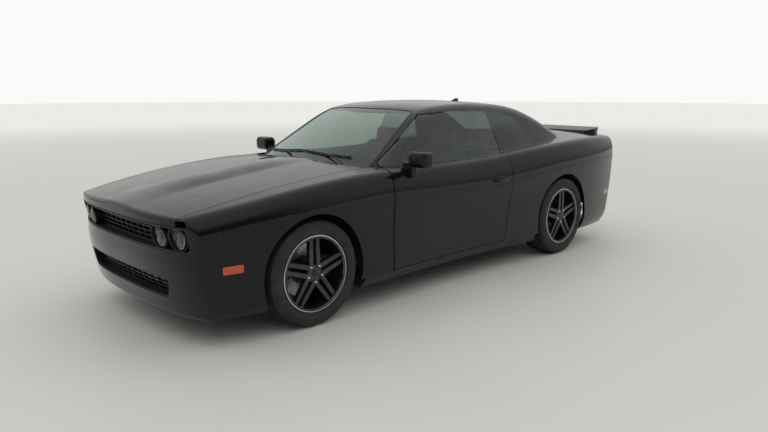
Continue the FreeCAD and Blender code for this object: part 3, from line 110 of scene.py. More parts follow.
def multiplied(tree, one, other):
    """The product of two values."""
    node = tree.nodes.new("ShaderNodeMath")
    node.operation = "MULTIPLY"
    tree.links.new(one, node.inputs[0])
    tree.links.new(other, node.inputs[1])
    return node.outputs["Value"]


def smooth(tree, value, start, end):
    """A soft step from 0 to 1 while a value goes from start to end."""
    node = tree.nodes.new("ShaderNodeMapRange")
    node.interpolation_type = "SMOOTHSTEP"
    for name, number in (("From Min", start), ("From Max", end)):
        node.inputs[name].default_value = number
    tree.links.new(value, node.inputs["Value"])
    return node.outputs["Result"]


def rough_by(tree, shader, value, low, high):
    """Gloss that varies between two roughness values."""
    tree.links.new(between(tree, value, 0.3, 0.7, low, high), shader.inputs["Roughness"])


def relief(tree, shader, value, strength, depth):
    """Fine relief from a pattern, with its depth in metres."""
    node = tree.nodes.new("ShaderNodeBump")
    node.inputs["Strength"].default_value = strength
    node.inputs["Distance"].default_value = depth
    tree.links.new(value, node.inputs["Height"])
    tree.links.new(node.outputs["Normal"], shader.inputs["Normal"])


def grained(name, dark, light, rough, scale=60.0, grain=400.0, depth=0.0002, metal=0.0):
    """A finish with clouded colour, uneven gloss and a fine grain."""
    material, tree, shader, where = new_finish(name)
    cloud = noise(tree, where, scale)
    tree.links.new(colours(tree, cloud, [(0.3, dark), (0.7, light)]), shader.inputs["Base Color"])
    rough_by(tree, shader, noise(tree, where, scale * 0.4), rough[0], rough[1])
    relief(tree, shader, noise(tree, where, grain, 2.0), 0.35, depth)
    shader.inputs["Metallic"].default_value = metal
    return material


# %% [markdown]
# Black lacquer is two things: a nearly black base with very small metal flakes in it, and a clear
# coat that does all the shining. The flakes are a fine cell pattern that lifts the colour here and
# there by very little. The coat keeps a trace of orange peel, a ripple that sprayed paint always
# has, and road dust greys the lowest part of the sides.

# %% Lacquer
def lacquer():
    """The car's black paint with its clear coat."""
    material, tree, shader, where = new_finish("black_lacquer")
    flakes = tree.nodes.new("ShaderNodeTexVoronoi")
    flakes.inputs["Scale"].default_value = 900.0
    tree.links.new(where, flakes.inputs["Vector"])
    speck = colours(tree, flakes.outputs["Distance"], [(0.0, (0.020, 0.021, 0.023)),
                                                       (0.25, (0.0075, 0.008, 0.009)),
                                                       (1.0, (0.006, 0.0065, 0.007))])
    height = tree.nodes.new("ShaderNodeSeparateXYZ")
    tree.links.new(where, height.inputs["Vector"])
    dust = between(tree, height.outputs["Z"], 0.18, 0.55, 0.12, 0.0)
    patchy = multiplied(tree, dust, noise(tree, where, 5.0, 6.0))
    mix = tree.nodes.new("ShaderNodeMix")
    mix.data_type = "RGBA"
    tree.links.new(patchy, mix.inputs["Factor"])
    tree.links.new(speck, mix.inputs["A"])
    mix.inputs["B"].default_value = (0.075, 0.068, 0.058, 1)
    tree.links.new(mix.outputs["Result"], shader.inputs["Base Color"])
    rough_by(tree, shader, noise(tree, where, 14.0), 0.26, 0.36)
    shader.inputs["Metallic"].default_value = 0.15
    shader.inputs["Specular IOR Level"].default_value = 0.06
    shader.inputs["Coat Weight"].default_value = 1.0
    shader.inputs["Coat IOR"].default_value = 1.32
    shader.inputs["Coat Roughness"].default_value = 0.05
    ripple = tree.nodes.new("ShaderNodeBump")
    ripple.inputs["Strength"].default_value = 0.05
    ripple.inputs["Distance"].default_value = 0.0004
    tree.links.new(noise(tree, where, 160.0, 1.0), ripple.inputs["Height"])
    tree.links.new(ripple.outputs["Normal"], shader.inputs["Coat Normal"])
    return material


paint = lacquer()
print("lacquer:", len(paint.node_tree.nodes), "nodes")

# %% [markdown]
# The front panes are tinted a weak green, and the panes behind the doors are darker. A refracting
# solid is the true way to show glass, because each pane here is a real sheet with thickness. A
# very weak smear in the gloss stops it from looking like a hole. The lamps need coloured plastic
# as well, in red and amber, with fine flutes.

# %% Glass and lenses
def clear(name, tint, rough=(0.0, 0.002), smear=1.5, index=1.45):
    """A see-through finish with a faint smear."""
    material, tree, shader, where = new_finish(name)
    tone = noise(tree, where, 2.5)
    shade = tuple(channel * 0.94 for channel in tint)
    tree.links.new(colours(tree, tone, [(0.3, shade), (0.7, tint)]), shader.inputs["Base Color"])
    rough_by(tree, shader, noise(tree, where, smear), rough[0], rough[1])
    shader.inputs["Transmission Weight"].default_value = 1.0
    shader.inputs["IOR"].default_value = index
    return material


window_glass = clear("window_glass", (0.47, 0.56, 0.52))
rear_glass = clear("rear_glass", (0.20, 0.24, 0.225))
lens_clear = clear("lens_clear", (0.93, 0.95, 0.95))


def lens(name, deep, bright, flute=260.0):
    """A moulded plastic lens with fine flutes behind its smooth face."""
    material, tree, shader, where = new_finish(name)
    lines = tree.nodes.new("ShaderNodeTexWave")
    lines.inputs["Scale"].default_value = flute
    lines.inputs["Distortion"].default_value = 0.4
    tree.links.new(where, lines.inputs["Vector"])
    tree.links.new(colours(tree, lines.outputs["Fac"], [(0.1, deep), (0.9, bright)]),
                   shader.inputs["Base Color"])
    rough_by(tree, shader, noise(tree, where, 20.0), 0.12, 0.2)
    relief(tree, shader, lines.outputs["Fac"], 0.3, 0.0006)
    shader.inputs["Coat Weight"].default_value = 1.0
    shader.inputs["Coat Roughness"].default_value = 0.03
    return material


amber_lens = lens("amber_lens", (0.42, 0.045, 0.006), (0.72, 0.12, 0.02))
red_lens = lens("red_lens", (0.10, 0.004, 0.005), (0.34, 0.012, 0.012))
print("glass and lenses ready")

# %% [markdown]
# The rest of the car is rubber, moulded plastic, cast and brushed metal, and leather. Each is the
# same grained recipe with its own colours, gloss and grain size.

# %% Plain finishes
black_plastic = grained("black_plastic", (0.010, 0.010, 0.010), (0.018, 0.018, 0.018), (0.42, 0.6))
gloss_black = grained("gloss_black", (0.006, 0.006, 0.006), (0.011, 0.011, 0.011), (0.12, 0.2),
                      depth=0.00005)
chassis_coat = grained("chassis_coat", (0.016, 0.016, 0.017), (0.035, 0.034, 0.032), (0.5, 0.75),
                       scale=12.0)
soft_trim = grained("soft_trim", (0.016, 0.016, 0.017), (0.026, 0.026, 0.027), (0.55, 0.7),
                    scale=25.0, grain=900.0)
dark_rim = grained("dark_rim", (0.055, 0.056, 0.06), (0.085, 0.086, 0.09), (0.26, 0.38),
                   scale=18.0, depth=0.0001, metal=0.85)
bright_metal = grained("bright_metal", (0.5, 0.5, 0.51), (0.62, 0.62, 0.63), (0.1, 0.2),
                       depth=0.00004, metal=1.0)
cast_iron = grained("cast_iron", (0.07, 0.068, 0.065), (0.14, 0.13, 0.12), (0.45, 0.7), scale=30.0,
                    depth=0.0004, metal=0.7)
pipe_steel = grained("pipe_steel", (0.24, 0.23, 0.22), (0.4, 0.39, 0.37), (0.25, 0.45), scale=10.0,
                     metal=1.0)
rubber = grained("rubber", (0.014, 0.014, 0.014), (0.026, 0.025, 0.024), (0.6, 0.85), scale=22.0,
                 grain=700.0, depth=0.0003)
leather = grained("leather", (0.014, 0.013, 0.013), (0.024, 0.022, 0.021), (0.38, 0.55),
                  scale=15.0, grain=520.0, depth=0.0005)
carpet = grained("carpet", (0.012, 0.012, 0.012), (0.03, 0.03, 0.03), (0.9, 1.0), scale=200.0,
                 grain=1500.0, depth=0.001)
print("finishes:", len(bpy.data.materials))

# %% [markdown]
# The ready made pieces keep their shapes, so dressing them is only a matter of which finish goes
# where. One table says it for the whole car.

# %% Dress the ready made pieces
wears = {
    paint: ("hood trunk_lid fender_left fender_right quarter_left quarter_right roof_frame "
            "front_bumper rear_bumper door_left door_right mirror_left mirror_right"),
    window_glass: "windshield door_glass_left door_glass_right",
    rear_glass: "rear_window quarter_windows",
    amber_lens: "front_markers",
    red_lens: "tail_lamps",
    chassis_coat: ("front_structure radiator_support floor_pan rear_structure front_subframe "
                   "rear_subframe"),
    black_plastic: "grilles",
    gloss_black: "headlamps",
    cast_iron: "knuckle_left knuckle_right engine",
    pipe_steel: "exhaust",
    dark_rim: "wheel_front_left wheel_front_right wheel_rear_left wheel_rear_right",
    rubber: "tyre_front_left tyre_front_right tyre_rear_left tyre_rear_right",
    leather: "seat_front_left seat_front_right rear_bench",
    soft_trim: "dashboard steering_wheel",
}
dressed = 0
for finish, names in wears.items():
    for name in names.split():
        node = nodes[name]
        node.data.materials.clear()
        node.data.materials.append(finish)
        dressed += 1
print("dressed", dressed, "of", len(nodes), "pieces")

# %% [markdown]
# A tyre is a turned shape with a pattern cut into its tread, so one profile is spun round the axle
# and each point's radius says whether it lies on a block or in a groove. Four grooves run all the
# way round, short ones cross the shoulders and the ribs. The side walls get the low rings that
# guard a real rim, and no lettering. The spun mesh stands in for the plain ring and keeps its size.

# %% Tyres
corners = ("front_left", "front_right", "rear_left", "rear_right")
tyre_low, tyre_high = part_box("tyre_front_left")
tyre_radius = (tyre_high.z - tyre_low.z) / 2
tyre_half = (tyre_high.y - tyre_low.y) / 2
bead = tyre_radius - 0.110


def hub_of(corner):
    """The middle of one wheel and the side of the car it is on."""
    low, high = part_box("tyre_" + corner)
    middle = (low + high) / 2
    return middle, 1 if middle.y > 0 else -1


def mesh_piece(name, shape, finish, body, smooth=True):
    """A finished piece from a bmesh, riding on a body."""
    mesh = bpy.data.meshes.new(name)
    bmesh.ops.recalc_face_normals(shape, faces=shape.faces)
    shape.to_mesh(mesh)
    shape.free()
    for face in mesh.polygons:
        face.use_smooth = smooth
    piece = bpy.data.objects.new(name, mesh)
    bpy.context.scene.collection.objects.link(piece)
    mesh.materials.append(finish)
    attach(piece, body)
    return piece


def ring_of(shape, count, point):
    """A ring of points from a function of the angle."""
    return [shape.verts.new(point(2 * math.pi * k / count)) for k in range(count)]


def squared(value, power):
    """A sine or cosine bent towards a rounded square."""
    return math.copysign(abs(value) ** power, value)


def skin(shape, rings, caps=()):
    """Faces between rings that follow each other, and a cap on each ring that is named."""
    for here, after in zip(rings, rings[1:]):
        for k in range(len(here)):
            onward = (k + 1) % len(here)
            shape.faces.new((here[k], here[onward], after[onward], after[k]))
    for number in caps:
        shape.faces.new(rings[number])


def spun(shape, centre, profile, count, radius_at=None, side=1):
    """A closed (radius, offset) profile spun round the car's Y axis through a centre."""
    rings = []
    for step in range(count):
        angle = 2 * math.pi * step / count
        ring = []
        for number, (radius, offset) in enumerate(profile):
            reach = radius - (radius_at(number, step) if radius_at else 0.0)
            ring.append(shape.verts.new((centre.x + reach * math.cos(angle),
                                         centre.y + side * offset,
                                         centre.z + reach * math.sin(angle))))
        rings.append(ring)
    for here, after in zip(rings, rings[1:] + rings[:1]):
        for i in range(len(profile)):
            j = (i + 1) % len(profile)
            shape.faces.new((here[i], here[j], after[j], after[i]))


wall = [(0.0, -0.026), (0.007, -0.014), (0.012, -0.012), (0.016, -0.006), (0.030, -0.0015),
        (0.050, 0.0), (0.052, 0.0003), (0.056, 0.0003), (0.058, -0.0008), (0.074, -0.005),
        (0.076, -0.0045), (0.079, -0.006), (0.090, -0.011), (0.098, -0.017)]
groove_at = (-0.074, -0.027, 0.027, 0.074)
cross = [-0.108]
for groove in groove_at:
    cross += [groove - 0.0055, groove - 0.0045, groove + 0.0045, groove + 0.0055]
cross.append(0.108)
tread = []
for offset in cross:
    crown = tyre_radius - 0.10 * (offset * offset) / tyre_half - 0.0002
    in_groove = any(abs(offset - groove) < 0.005 for groove in groove_at)
    tread.append((crown - (0.007 if in_groove else 0.0), offset))
inner_wall = [(bead + up, -(tyre_half + out)) for up, out in wall]
outer_wall = [(bead + up, tyre_half + out) for up, out in reversed(wall)]
tyre_profile = inner_wall + tread + outer_wall
first_tread = len(inner_wall)
pitch = 4


def tread_depth(number, step):
    """How deep the cross grooves cut at a profile point and a step round the tyre."""
    spot = number - first_tread
    if spot in (0, 1, len(tread) - 2, len(tread) - 1):
        return 0.0055 if step % pitch == 0 else 0.0
    if spot in (4, 5, len(tread) - 6, len(tread) - 5):
        return 0.004 if step % pitch == 2 else 0.0
    return 0.0


for corner in corners:
    middle, side = hub_of(corner)
    shape = bmesh.new()
    spun(shape, middle, tyre_profile, 72 * pitch, tread_depth, side)
    tyre = mesh_piece("tread_" + corner, shape, rubber, "road_wheel_" + corner)
    tyre.data.set_sharp_from_angle(angle=math.radians(32))
    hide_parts("tyre_" + corner)
print("tyres:", len(tyre.data.polygons), "faces each, radius", round(tyre_radius, 3))

# %% [markdown]
# The small parts of a wheel tell its scale: five nuts in their pockets, a cap over the hub, the
# valve and a polished lip. All are spun or arrayed round the same axle, and each set is one mesh.

# %% Wheel fittings
cap_radius = 0.034
nut_circle = 0.0575
nut_radius, nut_length = 0.0105, 0.016
nut_count = 5
hub_face = tyre_half - 0.026
pocket_depth = 0.004
valve_circle, valve_angle, valve_out = 0.226, 0.94, 0.088


def nut(shape, centre, side, radius, length, chamfer=0.25):
    """A six-sided nut along Y with a smaller end."""
    rings = []
    for along, scale in ((0.0, 1.0), (length * (1 - chamfer), 1.0), (length, 0.75)):
        reach = radius * scale
        rings.append(ring_of(shape, 6, lambda a: (centre.x + reach * math.cos(a),
                                                  centre.y + side * along,
                                                  centre.z + reach * math.sin(a))))
    skin(shape, rings, caps=(0, -1))


for corner in corners:
    middle, side = hub_of(corner)
    body = "road_wheel_" + corner
    shape = bmesh.new()
    face = middle + Vector((0, side * (hub_face - pocket_depth), 0))
    for k in range(nut_count):
        angle = math.radians(90 + 36 + 72 * k)
        spot = face + Vector((nut_circle * math.cos(angle), 0, nut_circle * math.sin(angle)))
        nut(shape, spot, side, nut_radius, nut_length)
    mesh_piece("nuts_" + corner, shape, bright_metal, body, smooth=False)
    shape = bmesh.new()
    dome = [(0.0001, 0.0105), (0.010, 0.0100), (0.020, 0.0085), (0.029, 0.0055),
            (cap_radius, 0.0015), (cap_radius, -0.006), (0.0001, -0.006)]
    spun(shape, face, dome, 40, side=side)
    mesh_piece("cap_" + corner, shape, gloss_black, body)
    shape = bmesh.new()
    lip = [(0.2545, 0.1290), (0.2600, 0.1285), (0.2612, 0.1240), (0.2600, 0.1205),
           (0.2500, 0.1190), (0.2385, 0.1205), (0.2385, 0.1250)]
    spun(shape, middle, lip, 120, side=side)
    mesh_piece("lip_" + corner, shape, bright_metal, body)
    shape = bmesh.new()
    stem = [(0.0001, 0.030), (0.0030, 0.030), (0.0034, 0.022), (0.0034, 0.012), (0.0055, 0.009),
            (0.0065, 0.0), (0.0001, 0.0)]
    valve = middle + Vector((valve_circle * math.cos(valve_angle), side * valve_out,
                             valve_circle * math.sin(valve_angle)))
    spun(shape, valve, stem, 12, side=side)
    mesh_piece("valve_" + corner, shape, rubber, body)
print("wheel fittings on", len(corners), "wheels")

# %% [markdown]
# A brake disc is bare iron, ground bright by the pads in a ring, with drilled holes and a rim that
# rusts. The ready made disc shares its wheel's dark finish, so a ground face is laid a hair over
# it. The holes are real gaps in the mesh: the ring is a grid with some cells left out.

# %% Brake discs
disc_outer = 0.1805
disc_inner = 0.098
disc_rows = 16
drilled_rows = (3, 7, 11)
hole_spacing = 6


def ground_face(shape, centre, side, offset):
    """A ring grid with staggered cells left out like drilled holes, and how many there are."""
    steps = 150
    rings = []
    holes = 0
    for row in range(disc_rows + 1):
        radius = disc_inner + (disc_outer - disc_inner) * row / disc_rows
        rings.append(ring_of(shape, steps, lambda a: (centre.x + radius * math.cos(a),
                                                      centre.y + side * offset,
                                                      centre.z + radius * math.sin(a))))
    for row in range(disc_rows):
        for k in range(steps):
            if row in drilled_rows and (k + row) % hole_spacing == 0:
                holes += 1
                continue
            after = (k + 1) % steps
            shape.faces.new((rings[row][k], rings[row][after], rings[row + 1][after],
                             rings[row + 1][k]))
    return holes


def disc_iron():
    """Ground iron: fine brushing."""
    material, tree, shader, where = new_finish("disc_iron")
    cloud = noise(tree, where, 30.0)
    tree.links.new(colours(tree, cloud, [(0.3, (0.22, 0.21, 0.20)), (0.7, (0.36, 0.35, 0.34))]),
                   shader.inputs["Base Color"])
    rough_by(tree, shader, noise(tree, stretched(tree, where, (1, 1, 60)), 12.0), 0.22, 0.4)
    relief(tree, shader, noise(tree, where, 300.0), 0.2, 0.0002)
    shader.inputs["Metallic"].default_value = 1.0
    return material


ground_iron = disc_iron()
disc_inner_face, disc_thickness, wheel_middle = 0.746, 0.028, 0.802
disc_offset = disc_inner_face + disc_thickness - wheel_middle
laid_over = 0.0006
for corner in corners:
    middle, side = hub_of(corner)
    shape = bmesh.new()
    holes = ground_face(shape, middle, side, disc_offset + laid_over)
    mesh_piece("disc_" + corner, shape, ground_iron, "road_wheel_" + corner)
print("four discs with", holes, "holes each")

# %% [markdown]
# Two more ways to make a form turn up again and again: a flat outline drawn out sideways, with its
# edges bevelled, and a round bar that follows a path of points. Each adds to a mesh in the making,
# and a second helper makes a whole piece of just one.

# %% Bars and drawn outlines
def prism(shape, outline, low, high, bevel=0.0):
    """A closed (x, z) outline drawn out along Y between two values."""
    near = [shape.verts.new((x, low, z)) for x, z in outline]
    far = [shape.verts.new((x, high, z)) for x, z in outline]
    shape.faces.new(near)
    shape.faces.new(list(reversed(far)))
    edges = []
    for i in range(len(outline)):
        j = (i + 1) % len(outline)
        shape.faces.new((near[i], far[i], far[j], near[j]))
        edges += [shape.edges.get((near[i], near[j])), shape.edges.get((far[i], far[j]))]
    if bevel:
        bmesh.ops.bevel(shape, geom=edges, offset=bevel, segments=2, affect="EDGES", profile=0.6)


def tube(shape, points, radius, sides=12):
    """A round bar through points, its ends closed."""
    rings = []
    for number, point in enumerate(points):
        before = points[max(number - 1, 0)]
        after = points[min(number + 1, len(points) - 1)]
        along = (Vector(after) - Vector(before)).normalized()
        across = along.cross(Vector((0.13, 0.97, 0.2))).normalized()
        third = along.cross(across)
        rings.append(ring_of(shape, sides, lambda a: Vector(point) + radius * (
            across * math.cos(a) + third * math.sin(a))))
    skin(shape, rings, caps=(0, -1))


def drawn(name, outline, low, high, finish, body="body", bevel=0.0):
    """A piece that is one outline drawn out sideways."""
    shape = bmesh.new()
    prism(shape, outline, low, high, bevel)
    return mesh_piece(name, shape, finish, body, smooth=False)


def bar(name, points, radius, finish, body="body", sides=12):
    """A piece that is one round bar."""
    shape = bmesh.new()
    tube(shape, points, radius, sides)
    return mesh_piece(name, shape, finish, body)


# %% [markdown]
# Small parts have to sit on the curved metal, so they ask it where it is: a ray is sent at a panel
# and comes back with the point it hit and the direction that faces away from it.

# %% Finding the skin
def hit(node, start, way):
    """Where a ray meets a ready made piece, with the outward direction there."""
    body = nodes[node]
    back = body.matrix_world.inverted()
    direction = (back.to_3x3() @ Vector(way)).normalized()
    found, spot, normal, _ = body.ray_cast(back @ Vector(start), direction)
    if not found:
        raise ValueError(f"no surface of {node} on that line")
    return body.matrix_world @ spot, (body.matrix_world.to_3x3() @ normal).normalized()


def strip(name, path, radius, finish, body, cyclic=False):
    """A round bead along a path of points."""
    curve = bpy.data.curves.new(name, "CURVE")
    curve.dimensions = "3D"
    curve.bevel_depth = radius
    curve.bevel_resolution = 2
    curve.use_fill_caps = True
    line = curve.splines.new("POLY")
    line.points.add(len(path) - 1)
    for point, spot in zip(line.points, path):
        point.co = (*spot, 1)
    line.use_cyclic_u = cyclic
    line.use_smooth = True
    piece = bpy.data.objects.new(name, curve)
    bpy.context.scene.collection.objects.link(piece)
    curve.materials.append(finish)
    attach(piece, body)
    return piece


def rim_loops(node, least=0.5, turn=50):
    """The long sharp edges of a pane, joined end to end into closed paths."""
    shape = bmesh.new()
    shape.from_mesh(nodes[node].data)
    bmesh.ops.remove_doubles(shape, verts=shape.verts, dist=0.00005)
    sharp = [e for e in shape.edges if len(e.link_faces) == 2
             and e.calc_face_angle(0.0) > math.radians(turn)]
    beside = {}
    for edge in sharp:
        for vert in edge.verts:
            beside.setdefault(vert, []).append(edge)
    loops = []
    used = set()
    for first in sharp:
        if first in used:
            continue
        used.add(first)
        path = [first.verts[0], first.verts[1]]
        while path[-1] is not path[0]:
            onward = [e for e in beside[path[-1]] if e not in used]
            if not onward:
                break
            used.add(onward[0])
            path.append(onward[0].other_vert(path[-1]))
        spots = [nodes[node].matrix_world @ v.co for v in path[:-1]]
        length = sum((a - b).length for a, b in zip(spots, spots[1:]))
        if length > least and path[-1] is path[0]:
            loops.append((length, spots))
    shape.free()
    return [spots for _, spots in sorted(loops, key=lambda loop: -loop[0])]


# %% [markdown]
# Every pane is framed by a black rubber seal. The pane's own sharp rim gives the path, so the seal
# follows the real glass round every corner, and rides with the door when the glass does.

# %% Window seals
rides = {"windshield": "body", "rear_window": "body", "door_glass_left": "left_door",
         "door_glass_right": "right_door", "quarter_windows": "body"}
seals = 0
for pane, body in rides.items():
    for number, path in enumerate(rim_loops(pane)):
        strip(f"seal_{pane}_{number}", path, 0.004, rubber, body, cyclic=True)
        seals += 1
print("seals:", seals)

# %% [markdown]
# The door handles are pull bars over a shallow cup. Each is placed where a ray meets the door, and
# turned to the door's own slope, so it sits flush however the side leans.

# %% Door handles and locks
def frame_on(point, normal, forward=(1, 0, 0)):
    """A placement whose Z leaves the surface and whose X runs along the car."""
    out = Vector(normal).normalized()
    along = (Vector(forward) - Vector(forward).dot(out) * out).normalized()
    across = out.cross(along)
    turn = Matrix((along, across, out)).transposed().to_4x4()
    return Matrix.Translation(point) @ turn


sides = (("left", 1), ("right", -1))
handle_at = (-0.40, 0.800)
handle_half, handle_rise, handle_bar = 0.098, 0.030, 0.0085
cup_long, cup_tall = 0.085, 0.030
for side, way in sides:
    point, normal = hit("door_" + side, (handle_at[0], way * 2, handle_at[1]), (0, -way, 0))
    place = frame_on(point, normal)
    shape = bmesh.new()
    path = []
    for k in range(17):
        u = -1 + k / 8
        path.append((handle_half * u, 0.0, handle_rise * (1 - abs(u) ** 5) - 0.006))
    tube(shape, path, handle_bar)
    bmesh.ops.scale(shape, vec=(1, 1.5, 1), verts=shape.verts)
    bmesh.ops.transform(shape, matrix=place, verts=shape.verts)
    mesh_piece("door_handle_" + side, shape, paint, side + "_door")
    shape = bmesh.new()
    rings = []
    for scale, rise in ((1.0, 0.0002), (0.94, 0.0012), (0.80, 0.0006), (0.4, 0.0003)):
        rings.append(ring_of(shape, 40, lambda a: (cup_long * scale * math.cos(a),
                                                   cup_tall * scale * math.sin(a), rise)))
    skin(shape, rings, caps=(-1,))
    bmesh.ops.transform(shape, matrix=place, verts=shape.verts)
    mesh_piece("door_handle_cup_" + side, shape, gloss_black, side + "_door")
print("door handles at height", round(point.z, 3))

# %% [markdown]
# A mirror is a shell round a plate of glass. The ready made shell has a plain rear face, so the
# glass is laid just proud of it with a thin black rim.

# %% Mirror glass
mirror_glass = grained("mirror_glass", (0.80, 0.82, 0.82), (0.88, 0.89, 0.89), (0.01, 0.03),
                       depth=0.00001, metal=1.0)
for side, way in sides:
    a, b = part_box("mirror_" + side)
    y0, y1 = (b.y - 0.158, b.y - 0.022) if way > 0 else (a.y + 0.022, a.y + 0.158)
    z0, z1 = b.z - 0.096, b.z - 0.022
    back = hit("mirror_" + side, (a.x - 0.5, (y0 + y1) / 2, (z0 + z1) / 2), (1, 0, 0))[0].x
    for name, finish, grow, proud in (("mirror_rim_", gloss_black, 0.006, 0.0015),
                                      ("mirror_glass_", mirror_glass, 0.0, 0.0028)):
        shape = bmesh.new()
        middle_y, middle_z = (y0 + y1) / 2, (z0 + z1) / 2
        half_y, half_z = (y1 - y0) / 2 + grow, (z1 - z0) / 2 + grow
        rings = []
        for rise, scale in ((0.0, 1.0), (proud, 0.985)):
            rings.append(ring_of(shape, 48, lambda a: (
                back - rise, middle_y + scale * half_y * squared(math.cos(a), 0.45),
                middle_z + scale * half_z * squared(math.sin(a), 0.45))))
        skin(shape, rings, caps=(0, 1))
        mesh_piece(name + side, shape, finish, side + "_door", smooth=False)
print("mirror glass fitted")

# %% [markdown]
# A seat is a stack of stuffed parts, not a block: a cushion and a back with a sewn centre panel,
# raised side bolsters, and a head rest on two posts. Each part starts as a closed, crowned cage,
# its seams are pinched in where thread would pull it, and the whole is smoothed by subdivision.
# The centre panels are ribbed, because real ones are quilted in channels.

# %% Cushion maker
seam_at = 0.60
seam_depth = 0.006
channel_depth = 0.004


def cushion(name, centre, size, lean, crown, ribs, bolster, waist=0.0):
    """A closed padded form: X is its thickness axis before the lean, Y its width, Z its length."""
    wide_steps, long_steps = 26, 22
    thick, width, length = size
    turn = Matrix.Rotation(lean, 4, "Y")
    shape = bmesh.new()
    layers = []
    for face in (1, -1):
        grid = []
        for i in range(wide_steps + 1):
            u = -1 + 2 * i / wide_steps
            row = []
            for j in range(long_steps + 1):
                v = -1 + 2 * j / long_steps
                edge = max(abs(u), abs(v))
                round_off = 1 - max(0.0, (edge - 0.72) / 0.28) ** 2.4
                puff = crown * (1 - u * u) ** 0.5 * (1 - v * v) ** 0.5
                level = thick / 2 * (0.30 + 0.70 * max(round_off, 0.0)) + puff
                if face == 1:
                    beyond_seam = max(0.0, (abs(u) - seam_at) / (1 - seam_at))
                    level += bolster * math.sin(min(beyond_seam, 1.0) * math.pi) ** 1.3
                    if abs(abs(u) - seam_at) < 0.05:
                        level -= seam_depth
                    elif abs(u) < 0.58 and abs(v) < 0.84 and ribs:
                        level -= channel_depth * (0.5 + 0.5 * math.cos(ribs * math.pi * (v + 1)))
                narrow = 1 - waist * max(0.0, v) ** 2
                row.append(shape.verts.new((face * level, u * width / 2 * narrow,
                                            v * length / 2)))
            grid.append(row)
        layers.append(grid)
    front, back = layers
    for i in range(wide_steps):
        for j in range(long_steps):
            shape.faces.new((front[i][j], front[i + 1][j], front[i + 1][j + 1], front[i][j + 1]))
            shape.faces.new((back[i][j], back[i][j + 1], back[i + 1][j + 1], back[i + 1][j]))
    for j in range(long_steps):
        for i in (0, wide_steps):
            shape.faces.new((front[i][j], front[i][j + 1], back[i][j + 1], back[i][j]))
    for i in range(wide_steps):
        for j in (0, long_steps):
            shape.faces.new((front[i][j], front[i + 1][j], back[i + 1][j], back[i][j]))
    bmesh.ops.transform(shape, matrix=Matrix.Translation(centre) @ turn, verts=shape.verts)
    piece = mesh_piece(name, shape, leather, "body")
    smooth = piece.modifiers.new("soft", "SUBSURF")
    smooth.levels = smooth.render_levels = 1
    return piece

# %% [markdown]
# The front seats are a cushion, a back, a head rest and the hard shell that carries them. The shell
# follows the same side profile as the plain seat it stands in for, so a person would sit at the
# same height. A pinched seam runs where the centre panel meets the bolsters.

# %% Front seats
seat_shell = [(0.385, 0.330), (0.385, 0.405), (0.350, 0.425), (-0.050, 0.400), (-0.130, 0.450),
              (-0.215, 0.520), (-0.335, 1.030), (-0.372, 1.030), (-0.262, 0.490), (-0.205, 0.330)]
seat_across, seat_half = 0.372, 0.225
rail_half_gap, post_half_gap = 0.17, 0.055
for side, way in sides:
    y = way * seat_across
    cushion("cushion_" + side, Vector((0.150, y, 0.430)), (0.115, 0.49, 0.50),
            math.radians(-94), 0.018, 5, 0.030)
    cushion("backrest_" + side, Vector((-0.240, y, 0.765)), (0.10, 0.49, 0.62),
            math.radians(-14.5), 0.014, 7, 0.042, waist=0.16)
    cushion("headrest_" + side, Vector((-0.332, y, 1.105)), (0.085, 0.27, 0.17),
            math.radians(-10), 0.016, 0, 0.0)
    shape = bmesh.new()
    prism(shape, seat_shell, y - seat_half, y + seat_half, 0.014)
    for rail in (-rail_half_gap, rail_half_gap):
        prism(shape, [(0.36, 0.207), (0.36, 0.232), (-0.16, 0.232), (-0.16, 0.207)],
              y + rail - 0.02, y + rail + 0.02, 0.003)
        prism(shape, [(0.25, 0.230), (0.25, 0.335), (-0.10, 0.335), (-0.12, 0.230)],
              y + rail - 0.007, y + rail + 0.007, 0.002)
    shell = mesh_piece("seat_shell_" + side, shape, soft_trim, "body", smooth=False)
    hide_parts("seat_front_" + side)
    shape = bmesh.new()
    for post in (-post_half_gap, post_half_gap):
        tube(shape, [(-0.318, y + post, 0.98), (-0.332, y + post, 1.09)], 0.006)
    mesh_piece("headrest_posts_" + side, shape, bright_metal, "body")
print("front seats dressed")

# %% [markdown]
# The rear seat is one bench shaped as two places with a flat panel between them. Its base and its
# back are the same padded forms, drawn wider and lower.

# %% Rear bench
bench_across, bench_half = 0.325, 0.575
for side, way in sides:
    y = way * bench_across
    cushion("bench_cushion_" + side, Vector((-0.845, y, 0.425)), (0.13, 0.46, 0.46),
            math.radians(-96), 0.020, 4, 0.014)
    cushion("bench_back_" + side, Vector((-1.060, y, 0.720)), (0.11, 0.46, 0.50),
            math.radians(-17), 0.016, 5, 0.014, waist=0.08)
cushion("bench_cushion_middle", Vector((-0.845, 0, 0.418)), (0.12, 0.19, 0.45),
        math.radians(-96), 0.010, 0, 0.0)
cushion("bench_back_middle", Vector((-1.062, 0, 0.722)), (0.10, 0.19, 0.50),
        math.radians(-17), 0.010, 0, 0.0)
bench_shell = [(-0.640, 0.334), (-0.640, 0.400), (-0.985, 0.385), (-1.045, 0.420),
               (-1.175, 0.940), (-1.203, 0.940), (-1.203, 0.334)]
bench = drawn("bench_base", bench_shell, -bench_half, bench_half, carpet, bevel=0.012)
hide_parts("rear_bench")
print("rear bench dressed")

# %% [markdown]
# Seen close, a lamp is a bowl with a lens over it. The ready made lamps are solid, so each is
# given a bowl of dark chrome, a ball lens in a bright collar, a frosted ring in its groove and a
# thin clear cover. They are unlit, as the car is parked.

